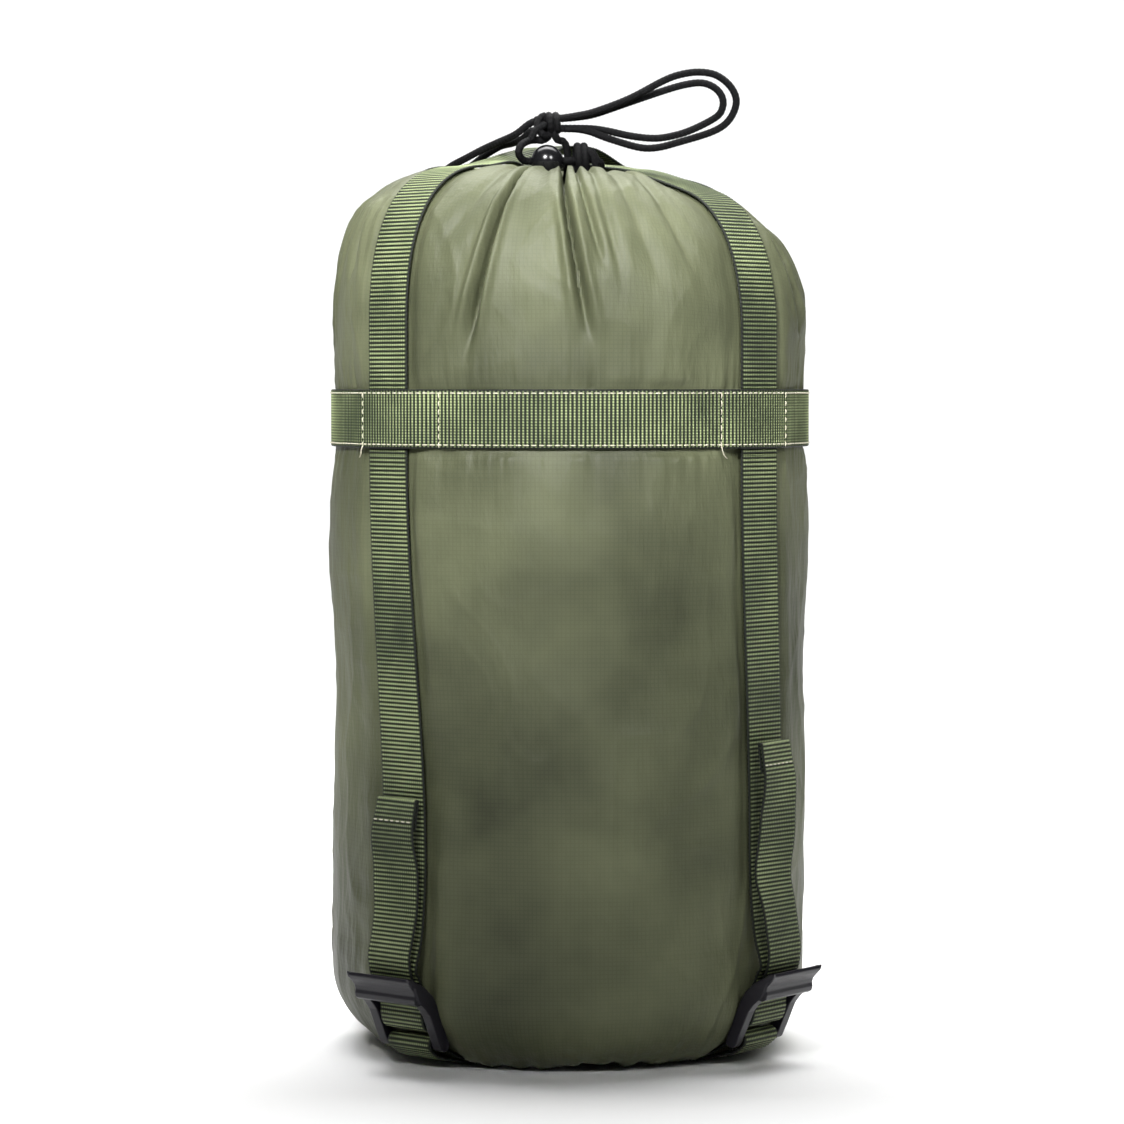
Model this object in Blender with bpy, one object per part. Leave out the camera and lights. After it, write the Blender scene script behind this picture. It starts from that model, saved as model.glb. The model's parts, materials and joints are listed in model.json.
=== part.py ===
"""A compression sack: a drawcord sack squeezed shorter by four webbing straps.

Metres, +Z up. The origin is the middle of the face that the sack stands on, and the front is -Y.
Azimuths turn from the front (0 degrees) towards +X (90 degrees).

The straps make two crosses, one over the mouth and one under the base. Each strap end runs down
the side, through a ladder-lock buckle at the lower edge, and back up as a loose tail. Pulling the
tails draws the crown of the sack down towards the base.
"""

import math

import bmesh
import bpy
from mathutils import Matrix, Vector

# ---- Driving dimensions -------------------------------------------------------------------------
GAP = 0.0003                    # between pieces that touch
BODY_RADIUS = 0.104             # outside of the filled sack
FABRIC = 0.0010                 # wall of the fabric solids
SEGMENTS = 48                   # round pieces of the sack

BASE_Z = 0.0032                 # underside of the base panel, above the two layers of webbing
BASE_FLAT_RADIUS = 0.073        # where the base turns up into the wall
CORNER_RADIUS = BODY_RADIUS - BASE_FLAT_RADIUS
SPLIT_Z = 0.2620                # the lower wall crumples up to here; the crown moves as one
SHOULDER_Z = 0.315
CREST_RADIUS = 0.056
CREST_Z = 0.385
SHOULDER_FULLNESS = 2.5         # exponent of the shoulder's superellipse
MOUTH_RADIUS = 0.0172           # inner end of the gathered top
MOUTH_DIP = 0.0115              # how far the gathers sink below the crest
MOUTH_DIP_POWER = 1.1

WEB_WIDTH = 0.025               # 25 mm webbing throughout
WEB = 0.0013
TOP_CROSS = {"a": -47.5, "b": 50.0}     # azimuth of each strap's front end; the rear is opposite
BASE_CROSS = {"a": -42.0, "b": 53.0}    # the filled sack is twisted a little about its axis
BAND_TOP_Z = 0.290
BAND_SEGMENTS = 96

CORD = 0.0032                   # drawcord diameter
RING_RADIUS = 0.0137            # drawcord inside the mouth channel
RING_Z = 0.3775

# Ladder-lock buckle, in its own plane: u runs from the anchor bar to the lip, n points outwards.
BUCKLE_LEAN = math.radians(30)  # of u away from the vertical
ANCHOR_BAR_RADIUS = 0.0020
BUCKLE_HALF_INSIDE = 0.0134
RAIL_WIDTH = 0.0044
RAIL_DEPTH = 0.0048
GRIP_BAR_U = 0.0110
GRIP_BAR_N = -0.0001
LIP_START_U = 0.0200
LIP_END_U = 0.0280

LOCK_CENTRE = Vector((-0.0099, -0.0364, 0.3886))
LOCK_RADIUS = 0.0070
PLUNGER_RADIUS = 0.0042

KNOT_CENTRE = Vector((-0.0087, -0.0310, 0.4050))
KNOT_RADIUS = 0.0052
KNOT_HALF_LENGTH = 0.0048
STOPPER_CENTRE = Vector((0.0050, -0.0364, 0.3892))

COLLECTION = bpy.context.scene.collection

# ---- Materials ----------------------------------------------------------------------------------
COLOURS = {
    "nylon": ((0.105, 0.115, 0.062), 0.50),
    "webbing": ((0.085, 0.130, 0.055), 0.75),
    "cord": ((0.012, 0.012, 0.013), 0.80),
    "buckle_plastic": ((0.020, 0.019, 0.023), 0.35),
    "lock_plastic": ((0.010, 0.010, 0.011), 0.15),
    "spring_steel": ((0.55, 0.55, 0.56), 0.30),
}


def material(kind):
    """The Principled material of that name, made once."""
    found = bpy.data.materials.get(kind)
    if found:
        return found
    made = bpy.data.materials.new(kind)
    made.use_nodes = True
    shader = made.node_tree.nodes["Principled BSDF"]
    colour, roughness = COLOURS[kind]
    shader.inputs["Base Color"].default_value = (*colour, 1)
    shader.inputs["Roughness"].default_value = roughness
    shader.inputs["Metallic"].default_value = 1.0 if kind == "spring_steel" else 0.0
    return made


# ---- Making objects -----------------------------------------------------------------------------
def clear_scene():
    for obj in list(bpy.data.objects):
        bpy.data.objects.remove(obj)


def add_object(name, mesh_or_bmesh, kind, sharp_angle=35):
    """Link a mesh, or a bmesh that is used up, as one named object."""
    if isinstance(mesh_or_bmesh, bmesh.types.BMesh):
        mesh = bpy.data.meshes.new(name)
        bmesh.ops.recalc_face_normals(mesh_or_bmesh, faces=mesh_or_bmesh.faces)
        mesh_or_bmesh.to_mesh(mesh)
        mesh_or_bmesh.free()
    else:
        mesh = mesh_or_bmesh
    mesh.shade_smooth()
    mesh.set_sharp_from_angle(angle=math.radians(sharp_angle))
    mesh.materials.append(material(kind))
    obj = bpy.data.objects.new(name, mesh)
    COLLECTION.objects.link(obj)
    return obj


def at_azimuth(degrees):
    """(outward, sideways) unit vectors of the upright plane at this azimuth."""
    a = math.radians(degrees)
    return Vector((math.sin(a), -math.cos(a), 0)), Vector((math.cos(a), math.sin(a), 0))


def turned(name, outline, kind, segments=SEGMENTS):
    """Spin a closed outline of (radius, z) points about a vertical axis."""
    bm = bmesh.new()
    verts = [bm.verts.new((r, 0, z)) for r, z in outline]
    edges = [bm.edges.new((verts[i - 1], verts[i])) for i in range(len(verts))]
    bmesh.ops.spin(
        bm, geom=verts + edges, cent=(0, 0, 0), axis=(0, 0, 1),
        angle=2 * math.pi, steps=segments, use_merge=True,
    )
    return add_object(name, bm, kind)


def webbing(name, path, sides):
    """A flat strip of webbing along a path of points, each with the direction across the strip."""
    bm = bmesh.new()
    rings = []
    for i, (point, side) in enumerate(zip(path, sides)):
        before = (point - path[max(i - 1, 0)]).normalized()
        after = (path[min(i + 1, len(path) - 1)] - point).normalized()
        along = (before + after).normalized()
        normal = side.cross(along).normalized()
        mitre = 1 / max(0.5, along.dot(after if i == 0 else before))
        corners = ((-1, -1), (1, -1), (1, 1), (-1, 1))
        rings.append([
            bm.verts.new(point + side * (a * WEB_WIDTH / 2) + normal * (b * mitre * WEB / 2))
            for a, b in corners
        ])
    for ring, following in zip(rings, rings[1:]):
        for k in range(4):
            bm.faces.new((ring[k - 1], ring[k], following[k], following[k - 1]))
    bm.faces.new(rings[0])
    bm.faces.new(rings[-1])
    return add_object(name, bm, "webbing", sharp_angle=50)


def webbing_in_plane(name, azimuth, points):
    """Webbing whose middle follows (radius, z) points in the upright plane at this azimuth."""
    out, side = at_azimuth(azimuth)
    path = [out * r + Vector((0, 0, z)) for r, z in points]
    return webbing(name, path, [side] * len(path))


def arc(centre, radius, start, end, steps):
    """(r, z) points of an arc; angles in degrees, 0 along +r and 90 along +z."""
    angles = [math.radians(start + (end - start) * i / steps) for i in range(steps + 1)]
    return [(centre[0] + radius * math.cos(a), centre[1] + radius * math.sin(a)) for a in angles]


def smooth_step(t):
    t = min(1.0, max(0.0, t))
    return t * t * (3 - 2 * t)


def smooth_route(points, spacing):
    """Evenly spaced points on a Catmull-Rom curve through the route's own points."""
    padded = [2 * points[0] - points[1], *points, 2 * points[-1] - points[-2]]
    fine = []
    steps = 24
    for p0, p1, p2, p3 in zip(padded, padded[1:], padded[2:], padded[3:]):
        for i in range(steps):
            t = i / steps
            fine.append(
                0.5 * (2 * p1 + (p2 - p0) * t + (2 * p0 - 5 * p1 + 4 * p2 - p3) * t * t
                       + (3 * p1 - p0 - 3 * p2 + p3) * t ** 3)
            )
    fine.append(points[-1])
    length = sum((b - a).length for a, b in zip(fine, fine[1:]))
    count = max(2, round(length / spacing))
    kept, walked, wanted = [fine[0]], 0.0, length / count
    for a, b in zip(fine, fine[1:]):
        step = (b - a).length
        while len(kept) < count and walked + step >= wanted * len(kept):
            kept.append(a.lerp(b, (wanted * len(kept) - walked) / step))
        walked += step
    return kept + [fine[-1]]


def cord(name, route_mm, spacing=2 * CORD):
    """A round cord through hand-placed points, given in millimetres."""
    points = smooth_route([Vector(p) / 1000 for p in route_mm], spacing)
    curve = bpy.data.curves.new(name, "CURVE")
    curve.dimensions = "3D"
    spline = curve.splines.new("POLY")
    spline.points.add(len(points) - 1)
    for spline_point, place in zip(spline.points, points):
        spline_point.co = (*place, 1)
    curve.bevel_depth = CORD / 2
    curve.bevel_resolution = 2
    curve.use_fill_caps = True
    curve.materials.append(material("cord"))
    obj = bpy.data.objects.new(name, curve)
    COLLECTION.objects.link(obj)
    return obj


# ---- The sack -----------------------------------------------------------------------------------
def shoulder_point(t, offset=0.0):
    """A point of the shoulder, 0 at the wall to 1 at the crest, moved outwards by offset."""
    a = t * math.pi / 2
    power = 2 / SHOULDER_FULLNESS
    wide, tall = BODY_RADIUS - CREST_RADIUS, CREST_Z - SHOULDER_Z
    across, up = math.cos(a) ** power, math.sin(a) ** power
    normal = Vector((across ** (SHOULDER_FULLNESS - 1) / wide, up ** (SHOULDER_FULLNESS - 1) / tall))
    normal.normalize()
    return (
        CREST_RADIUS + wide * across + offset * normal.x,
        SHOULDER_Z + tall * up + offset * normal.y,
    )


def gather_point(t, offset=0.0):
    """A point of the sunken gathers, 0 at the crest to 1 at the mouth."""
    r = CREST_RADIUS + (MOUTH_RADIUS - CREST_RADIUS) * t
    return r, CREST_Z - MOUTH_DIP * t ** MOUTH_DIP_POWER + offset


def thick_outline(point_at, steps):
    """The closed outline of a wall that is FABRIC thick, inside the points of point_at(t, offset)."""
    outer = [point_at(i / steps, 0.0) for i in range(steps + 1)]
    inner = [point_at(i / steps, -FABRIC) for i in range(steps + 1)]
    return outer, inner


def upper_sack_wall():
    """The crown: the wall above the band's lower edge, the shoulder and the gathered top."""
    shoulder_out, shoulder_in = thick_outline(shoulder_point, 9)
    gather_out, gather_in = thick_outline(gather_point, 5)
    outer = [(BODY_RADIUS, SPLIT_Z), *shoulder_out, *gather_out[1:]]
    inner = [(BODY_RADIUS - FABRIC, SPLIT_Z), *shoulder_in, *gather_in[1:]]
    return turned("upper_sack_wall", outer + inner[::-1], "nylon")


def lower_sack_wall():
    """The part that crumples: from the base seam round the corner and up to the band."""
    centre = (BASE_FLAT_RADIUS, BASE_Z + CORNER_RADIUS)
    top = SPLIT_Z - GAP
    outer = [*arc(centre, CORNER_RADIUS, -90, 0, 8), (BODY_RADIUS, top)]
    inner = [*arc(centre, CORNER_RADIUS - FABRIC, -90, 0, 8), (BODY_RADIUS - FABRIC, top)]
    return turned("lower_sack_wall", outer + inner[::-1], "nylon")


def base_panel():
    """The round panel that closes the base."""
    bm = bmesh.new()
    radius = BASE_FLAT_RADIUS - GAP
    place = Matrix.Translation((0, 0, BASE_Z + FABRIC / 2))
    bmesh.ops.create_cone(
        bm, cap_ends=True, segments=SEGMENTS, radius1=radius, radius2=radius, depth=FABRIC,
        matrix=place,
    )
    return add_object("base_panel", bm, "nylon")


def base_seam_binding():
    """The bound seam allowance that stands up inside, where the panel meets the wall."""
    low, high = BASE_Z + FABRIC + GAP, BASE_Z + FABRIC + 0.0080
    inner, outer = BASE_FLAT_RADIUS - 0.0030, BASE_FLAT_RADIUS - 0.0012
    outline = [(inner, low), (outer, low), (outer, high), (inner, high)]
    return turned("base_seam_binding", outline, "nylon")


def mouth_channel():
    """The folded hem round the mouth: an upside-down U that holds the drawcord."""
    inner, outer, low, high = 0.0108, 0.0166, 0.3740, 0.3806
    wall = 0.0008
    outline = [
        (inner, low), (inner, high - 0.0012), (inner + 0.0012, high), (outer - 0.0012, high),
        (outer, high - 0.0012), (outer, low), (outer - wall, low), (outer - wall, high - wall),
        (inner + wall, high - wall), (inner + wall, low),
    ]
    return turned("mouth_channel", outline, "nylon", segments=32)


def drawcord_ring():
    """The drawcord where the channel holds it."""
    outline = arc((RING_RADIUS, RING_Z), CORD / 2, 0, 315, 7)
    return turned("drawcord_ring", outline, "cord", segments=32)


# ---- Webbing ------------------------------------------------------------------------------------
STRAP_RADIUS = BODY_RADIUS + GAP + WEB / 2      # middle of a strap that lies on the wall
PLACES = {
    "front_left": ("a", 0),
    "front_right": ("b", 0),
    "rear_right": ("a", 180),
    "rear_left": ("b", 180),
}
TOP_AZIMUTH = {place: TOP_CROSS[strap] + half for place, (strap, half) in PLACES.items()}
BASE_AZIMUTH = {place: BASE_CROSS[strap] + half for place, (strap, half) in PLACES.items()}
TAIL_TOP_Z = {"front_left": 0.1170, "front_right": 0.1400, "rear_right": 0.1250, "rear_left": 0.1310}


def belt_band():
    """The stitched belt. It stands off the wall over each strap, which runs in the tunnel."""
    tunnel_lift, tunnel_half, ease = 0.0025, 9.0, 7.0
    bm = bmesh.new()
    rings = []
    for i in range(BAND_SEGMENTS):
        azimuth = 360 * i / BAND_SEGMENTS
        away = min(abs((azimuth - a + 180) % 360 - 180) for a in TOP_AZIMUTH.values())
        lift = tunnel_lift * (1 - smooth_step((away - tunnel_half) / ease))
        out, _ = at_azimuth(azimuth)
        inner = BODY_RADIUS + GAP + lift
        low, high = BAND_TOP_Z - WEB_WIDTH, BAND_TOP_Z
        corners = ((inner, low), (inner + WEB, low), (inner + WEB, high), (inner, high))
        rings.append([bm.verts.new(out * r + Vector((0, 0, z))) for r, z in corners])
    for i, ring in enumerate(rings):
        previous = rings[i - 1]
        for k in range(4):
            bm.faces.new((previous[k - 1], previous[k], ring[k], ring[k - 1]))
    return add_object("belt_band", bm, "webbing", sharp_angle=50)


def crown_half(middle_z, flat, ease):
    """(r, z) points of a top strap from the middle of the cross out and down to the split.

    The strap lies on the fabric, and is lifted to middle_z where it crosses the mouth: it stays
    up for the distance flat, and comes down over the distance ease.
    """
    rest_z = CREST_Z + GAP + WEB / 2
    lift = middle_z - rest_z
    inner = [(r, rest_z) for r in (0.0, 0.008, 0.016, 0.022, 0.028, 0.034, 0.040, 0.048)]
    outer = [shoulder_point(1 - i / 10, GAP + WEB / 2) for i in range(11)]
    wall = [(STRAP_RADIUS, SPLIT_Z)]
    return [(r, z + lift * (1 - smooth_step((r - flat) / ease))) for r, z in inner + outer] + wall


def top_cross_strap(name, azimuth, middle_z, front, rear):
    """One strap of the top cross, from the front at this azimuth to the rear opposite it."""
    front_half = crown_half(middle_z, *front)
    rear_half = [(-r, z) for r, z in crown_half(middle_z, *rear)[1:]]
    return webbing_in_plane(name, azimuth, front_half[::-1] + rear_half)


def top_cross():
    top_cross_strap("top_cross_strap_a", TOP_CROSS["a"], 0.3959, (0.012, 0.050), (0.015, 0.040))
    top_cross_strap("top_cross_strap_b", TOP_CROSS["b"], 0.3942, (0.006, 0.024), (0.006, 0.040))


CORNER_CENTRE = (BASE_FLAT_RADIUS, BASE_Z + CORNER_RADIUS)
INNER_LEG_Z = BASE_Z - GAP - WEB / 2
OUTER_LEG_Z = WEB / 2
LOOP_RADIUS = ANCHOR_BAR_RADIUS + 0.0004 + WEB / 2
ANCHOR_ANGLE = 49.6             # place of the anchor bar round the corner, from straight down


def around_corner(degrees_from_down, distance):
    """A point round the base corner, at this distance from the corner's centre."""
    a = math.radians(degrees_from_down)
    return CORNER_CENTRE[0] + distance * math.sin(a), CORNER_CENTRE[1] - distance * math.cos(a)


INNER_LEG_DISTANCE = CORNER_CENTRE[1] - INNER_LEG_Z
OUTER_LEG_DISTANCE = CORNER_CENTRE[1] - OUTER_LEG_Z
ANCHOR = around_corner(ANCHOR_ANGLE, INNER_LEG_DISTANCE + LOOP_RADIUS)


def base_loop():
    """(r, z) from the middle of the base out, round the anchor bar, and back under itself."""
    steps = 6
    inner = [
        around_corner(ANCHOR_ANGLE * i / steps, INNER_LEG_DISTANCE) for i in range(steps + 1)
    ]
    start = ANCHOR_ANGLE - 90 + 180
    loop = arc(ANCHOR, LOOP_RADIUS, start, start - 180, 8)[1:]
    spread = INNER_LEG_DISTANCE + 2 * LOOP_RADIUS - OUTER_LEG_DISTANCE
    closing_angle = 18.0
    outer = []
    for i in range(1, steps + 1):
        angle = ANCHOR_ANGLE * (1 - i / steps)
        open_share = smooth_step((angle - closing_angle) / (ANCHOR_ANGLE - closing_angle))
        outer.append(around_corner(angle, OUTER_LEG_DISTANCE + spread * open_share))
    return [*inner, *loop, *outer, (0.045, OUTER_LEG_Z)]


def base_cross_strap(name, azimuth, dips):
    """One strap under the base, with a loop at each end. One of the pair dips below the other."""
    half = [(0.026, INNER_LEG_Z), *base_loop()]
    middle_z = OUTER_LEG_Z if dips else INNER_LEG_Z
    middle = [(-0.0155, middle_z), (0.0155, middle_z)]
    path = [(-r, z) for r, z in half[::-1]] + middle + half
    return webbing_in_plane(name, azimuth, path)


def base_cross():
    base_cross_strap("base_cross_strap_a", BASE_CROSS["a"], dips=False)
    base_cross_strap("base_cross_strap_b", BASE_CROSS["b"], dips=True)


def buckle_point(u, n):
    """(r, z) of a point in the buckle's own plane."""
    s, c = math.sin(BUCKLE_LEAN), math.cos(BUCKLE_LEAN)
    return ANCHOR[0] + u * s + n * c, ANCHOR[1] + u * c - n * s


JOIN_U = 0.0310                 # the webbing of the buckle meets the strap and the tail here
SIDE_RUN_N = -0.0028            # middle of the webbing that goes under the lip
TAIL_RUN_N = 0.0008             # middle of the webbing that comes out under the lip


def strap_wrap(place):
    """The webbing inside the buckle: under the lip, round the grip bar and out under the lip."""
    turn = 0.0016 + 0.0004 + WEB / 2
    under, over = GRIP_BAR_N - turn, GRIP_BAR_N + turn
    left, right = GRIP_BAR_U - 0.0009, GRIP_BAR_U + 0.0009
    around = [
        (left - turn * math.sin(math.radians(a)), GRIP_BAR_N - turn * math.cos(math.radians(a)))
        for a in range(0, 181, 30)
    ]
    path = [
        (JOIN_U, SIDE_RUN_N), (0.0275, SIDE_RUN_N), (0.0180, under), (right, under), *around,
        (right, over), (0.0150, over - 0.0006), (0.0180, TAIL_RUN_N + 0.0001),
        (0.0275, TAIL_RUN_N), (JOIN_U, TAIL_RUN_N),
    ]
    points = [buckle_point(u, n) for u, n in path]
    return webbing_in_plane(f"strap_wrap_{place}", BASE_AZIMUTH[place], points)


def side_strap(place):
    """The run of strap from the band down to the buckle, turned a little on the way."""
    straight_end_z, steps = 0.090, 8
    drop = SPLIT_Z - GAP - straight_end_z
    points = [(STRAP_RADIUS, SPLIT_Z - GAP - drop * i / steps) for i in range(steps + 1)]
    turns = [smooth_step(i / steps) for i in range(steps + 1)]
    lower = [
        (STRAP_RADIUS + 0.0006, 0.075), (STRAP_RADIUS + 0.0024, 0.058),
        buckle_point(JOIN_U + 0.0040, SIDE_RUN_N), buckle_point(JOIN_U + GAP, SIDE_RUN_N),
    ]
    top, base = TOP_AZIMUTH[place], BASE_AZIMUTH[place]
    path, sides = [], []
    for (r, z), turn in zip(points + lower, turns + [1.0] * len(lower)):
        out, side = at_azimuth(top + (base - top) * turn)
        path.append(out * r + Vector((0, 0, z)))
        sides.append(side)
    return webbing(f"side_strap_{place}", path, sides)


def strap_tail(place):
    """The loose end above the buckle, with its end folded inwards and stitched."""
    hem, fold = 0.0120, WEB / 2 + 0.0001
    tail_radius = 0.1108
    top = TAIL_TOP_Z[place] - fold - WEB / 2
    points = [
        buckle_point(JOIN_U + GAP, TAIL_RUN_N), buckle_point(JOIN_U + 0.0040, TAIL_RUN_N),
        (0.1160, 0.0475), (0.1137, 0.0560), (0.1115, 0.0680), (tail_radius, 0.0800),
        (tail_radius, top),
    ]
    points += arc((tail_radius - fold, top), fold, 0, 180, 4)[1:]
    points.append((tail_radius - 2 * fold, top - hem))
    return webbing_in_plane(f"strap_tail_{place}", BASE_AZIMUTH[place], points)


# ---- Buckles ------------------------------------------------------------------------------------
def box(bm, low, high):
    """A box between two corners, as part of bm."""
    size = Vector(high) - Vector(low)
    middle = (Vector(high) + Vector(low)) / 2
    made = bmesh.ops.create_cube(bm, size=1)["verts"]
    bmesh.ops.scale(bm, vec=size, verts=made)
    bmesh.ops.translate(bm, vec=middle, verts=made)


def extruded(outline, half_width):
    """A bmesh of a closed (n, u) outline, drawn out to both sides."""
    bm = bmesh.new()
    verts = [bm.verts.new((-half_width, n, u)) for n, u in outline]
    face = bm.faces.new(verts)
    moved = bmesh.ops.extrude_face_region(bm, geom=[face])["geom"]
    top = [v for v in moved if isinstance(v, bmesh.types.BMVert)]
    bmesh.ops.translate(bm, vec=(2 * half_width, 0, 0), verts=top)
    bmesh.ops.recalc_face_normals(bm, faces=bm.faces)
    return bm


def rail_outline():
    """The side of a rail: a round foot at the anchor bar, rising to carry the lip."""
    half = RAIL_DEPTH / 2
    foot = arc((0.0, 0.0), half, 0, -180, 6)
    return foot + [
        (-half, 0.0180), (-half + 0.0008, 0.0225), (0.0006, 0.0262), (0.0026, LIP_END_U),
        (0.0058, LIP_END_U), (0.0050, 0.0225), (half + 0.0006, 0.0170),
    ]


def lip_outline():
    """The lip: a bar that grips the tail, and a thumb plate that flares out past it."""
    return [
        (0.0020, LIP_START_U), (0.0018, 0.0225), (0.0020, 0.0262), (0.0036, 0.0300),
        (0.0060, 0.0318), (0.0072, 0.0312), (0.0066, 0.0286), (0.0058, 0.0262),
        (0.0056, 0.0224), (0.0048, LIP_START_U),
    ]


def buckle_cutters(outside):
    """Shapes joined to the first rail by a Boolean union."""
    pieces = []
    for sign in (-1, 1):
        bm = extruded(rail_outline(), RAIL_WIDTH / 2)
        bmesh.ops.translate(bm, vec=(sign * (outside - RAIL_WIDTH / 2), 0, 0), verts=bm.verts)
        pieces.append(bm)
    pieces.append(extruded(arc((0, 0), ANCHOR_BAR_RADIUS, 0, 330, 11), outside - 0.001))
    grip = [
        (n + GRIP_BAR_N, u) for n, u in (
            *arc((0, GRIP_BAR_U + 0.0009), 0.0016, 0, 180, 5),
            *arc((0, GRIP_BAR_U - 0.0009), 0.0016, 180, 360, 5),
        )
    ]
    pieces.append(extruded(grip, outside - 0.001))
    pieces.append(extruded(lip_outline(), outside + 0.0012))
    return pieces


def buckle_mesh():
    """The mesh that the four ladder-lock buckles share: (side, n, u) axes, anchor bar at 0."""
    outside = BUCKLE_HALF_INSIDE + RAIL_WIDTH
    objects = []
    for i, bm in enumerate(buckle_cutters(outside)):
        obj = add_object(f"buckle_shape_{i}", bm, "buckle_plastic")
        obj.hide_render = True
        obj.display_type = "WIRE"
        objects.append(obj)
    first = objects[0]
    for other in objects[1:]:
        joined = first.modifiers.new("join", "BOOLEAN")
        joined.operation = "UNION"
        joined.object = other
    bpy.context.view_layer.update()
    graph = bpy.context.evaluated_depsgraph_get()
    mesh = bpy.data.meshes.new_from_object(first.evaluated_get(graph))
    for obj in objects:
        bpy.data.objects.remove(obj)
    mesh.name = "ladder_lock_buckle"
    return mesh


def buckle_matrix(azimuth):
    """Places the buckle's (side, n, u) axes at its anchor bar, with u leaning outwards."""
    out, side = at_azimuth(azimuth)
    up = Vector((0, 0, 1))
    u = out * math.sin(BUCKLE_LEAN) + up * math.cos(BUCKLE_LEAN)
    n = out * math.cos(BUCKLE_LEAN) - up * math.sin(BUCKLE_LEAN)
    matrix = Matrix((side, n, u)).transposed().to_4x4()
    matrix.translation = out * ANCHOR[0] + up * ANCHOR[1]
    return matrix


def buckles():
    mesh = buckle_mesh()
    for place, azimuth in BASE_AZIMUTH.items():
        obj = bpy.data.objects.new(f"ladder_lock_buckle_{place}", mesh)
        obj.matrix_world = buckle_matrix(azimuth)
        COLLECTION.objects.link(obj)
        strap_wrap(place)
        side_strap(place)
        strap_tail(place)


# ---- Cord lock: barrel, plunger and spring, on an axis along Y ------------------------------------
BARREL_FRONT, BARREL_REAR = -0.0087, 0.0050
BORE_END = -0.0070
BORE_RADIUS = PLUNGER_RADIUS + 0.0003
PLUNGER_FRONT, PLUNGER_REAR = -0.0034, 0.0085
PLUNGER_TRAVEL = 0.0022


def lathe_y(outline, segments):
    """A bmesh turned about Y from (y, radius) points whose ends lie on the axis."""
    bm = bmesh.new()
    verts = [bm.verts.new((r, y, 0)) for y, r in outline]
    edges = [bm.edges.new(pair) for pair in zip(verts, verts[1:])]
    bmesh.ops.spin(
        bm, geom=verts + edges, cent=(0, 0, 0), axis=(0, 1, 0),
        angle=2 * math.pi, steps=segments, use_merge=True,
    )
    bmesh.ops.remove_doubles(bm, verts=bm.verts, dist=1e-6)
    bmesh.ops.recalc_face_normals(bm, faces=bm.faces)
    return bm


def slot_cutter(name, y_low, y_high):
    """A hole along X that takes the cord."""
    bm = bmesh.new()
    half = CORD / 2 + 0.0004
    box(bm, (-0.012, y_low, -half), (0.012, y_high, half))
    cutter = add_object(name, bm, "lock_plastic")
    cutter.location = LOCK_CENTRE
    cutter.hide_render = True
    cutter.display_type = "WIRE"
    return cutter


def cut(obj, cutter):
    modifier = obj.modifiers.new("cut", "BOOLEAN")
    modifier.operation = "DIFFERENCE"
    modifier.object = cutter


def cord_lock():
    nose = BARREL_FRONT + LOCK_RADIUS
    dome = [
        (nose - LOCK_RADIUS * math.cos(math.radians(a)), LOCK_RADIUS * math.sin(math.radians(a)))
        for a in range(0, 91, 15)
    ]
    rim = 0.0016
    outline = dome + [
        (BARREL_REAR - rim, LOCK_RADIUS), (BARREL_REAR - rim / 3, LOCK_RADIUS - rim / 3),
        (BARREL_REAR, LOCK_RADIUS - rim), (BARREL_REAR, BORE_RADIUS), (BORE_END, BORE_RADIUS),
        (BORE_END, 0),
    ]
    barrel = add_object("cord_lock_barrel", lathe_y(outline, 28), "lock_plastic")
    barrel.location = LOCK_CENTRE
    cut(barrel, slot_cutter("barrel_hole", -0.0019, 0.0019))

    head = 0.0048
    outline = [
        (PLUNGER_FRONT, 0), (PLUNGER_FRONT, PLUNGER_RADIUS), (PLUNGER_REAR - 0.0010, PLUNGER_RADIUS),
        (PLUNGER_REAR - 0.0008, head - 0.0002), (PLUNGER_REAR - 0.0002, head - 0.0004),
        (PLUNGER_REAR + 0.0004, 0.0024), (PLUNGER_REAR + 0.0005, 0),
    ]
    plunger = add_object("cord_lock_plunger", lathe_y(outline, 28), "lock_plastic")
    plunger.location = LOCK_CENTRE
    cut(plunger, slot_cutter("plunger_hole", -0.0018, 0.0018 + PLUNGER_TRAVEL + 0.0004))
    cord_lock_spring()


def cord_lock_spring():
    """A coil of wire between the blind end of the bore and the plunger."""
    wire, coil, turns, per_turn = 0.00025, 0.0030, 3.0, 14
    start, end = BORE_END + wire + GAP, PLUNGER_FRONT - wire - GAP
    count = int(turns * per_turn)
    curve = bpy.data.curves.new("cord_lock_spring", "CURVE")
    curve.dimensions = "3D"
    spline = curve.splines.new("POLY")
    spline.points.add(count)
    for i, point in enumerate(spline.points):
        a = 2 * math.pi * i / per_turn
        point.co = (coil * math.cos(a), start + (end - start) * i / count, coil * math.sin(a), 1)
    curve.bevel_depth = wire
    curve.bevel_resolution = 1
    curve.use_fill_caps = True
    curve.materials.append(material("spring_steel"))
    obj = bpy.data.objects.new("cord_lock_spring", curve)
    obj.location = LOCK_CENTRE
    COLLECTION.objects.link(obj)


# ---- Drawcord outside the channel -----------------------------------------------------------------
def knot_drum(name, centre, radius, half_length, bevel=0.0012):
    """A knot's plain solid: a drum lying along X."""
    bm = bmesh.new()
    outline = [
        (-half_length, radius - bevel), (-half_length + bevel, radius),
        (half_length - bevel, radius), (half_length, radius - bevel),
    ]
    verts = [bm.verts.new((x, 0, r)) for x, r in [(-half_length, 0), *outline, (half_length, 0)]]
    edges = [bm.edges.new(pair) for pair in zip(verts, verts[1:])]
    bmesh.ops.spin(
        bm, geom=verts + edges, cent=(0, 0, 0), axis=(1, 0, 0),
        angle=2 * math.pi, steps=16, use_merge=True,
    )
    bmesh.ops.remove_doubles(bm, verts=bm.verts, dist=1e-6)
    obj = add_object(name, bm, "cord")
    obj.location = centre
    return obj


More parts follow.
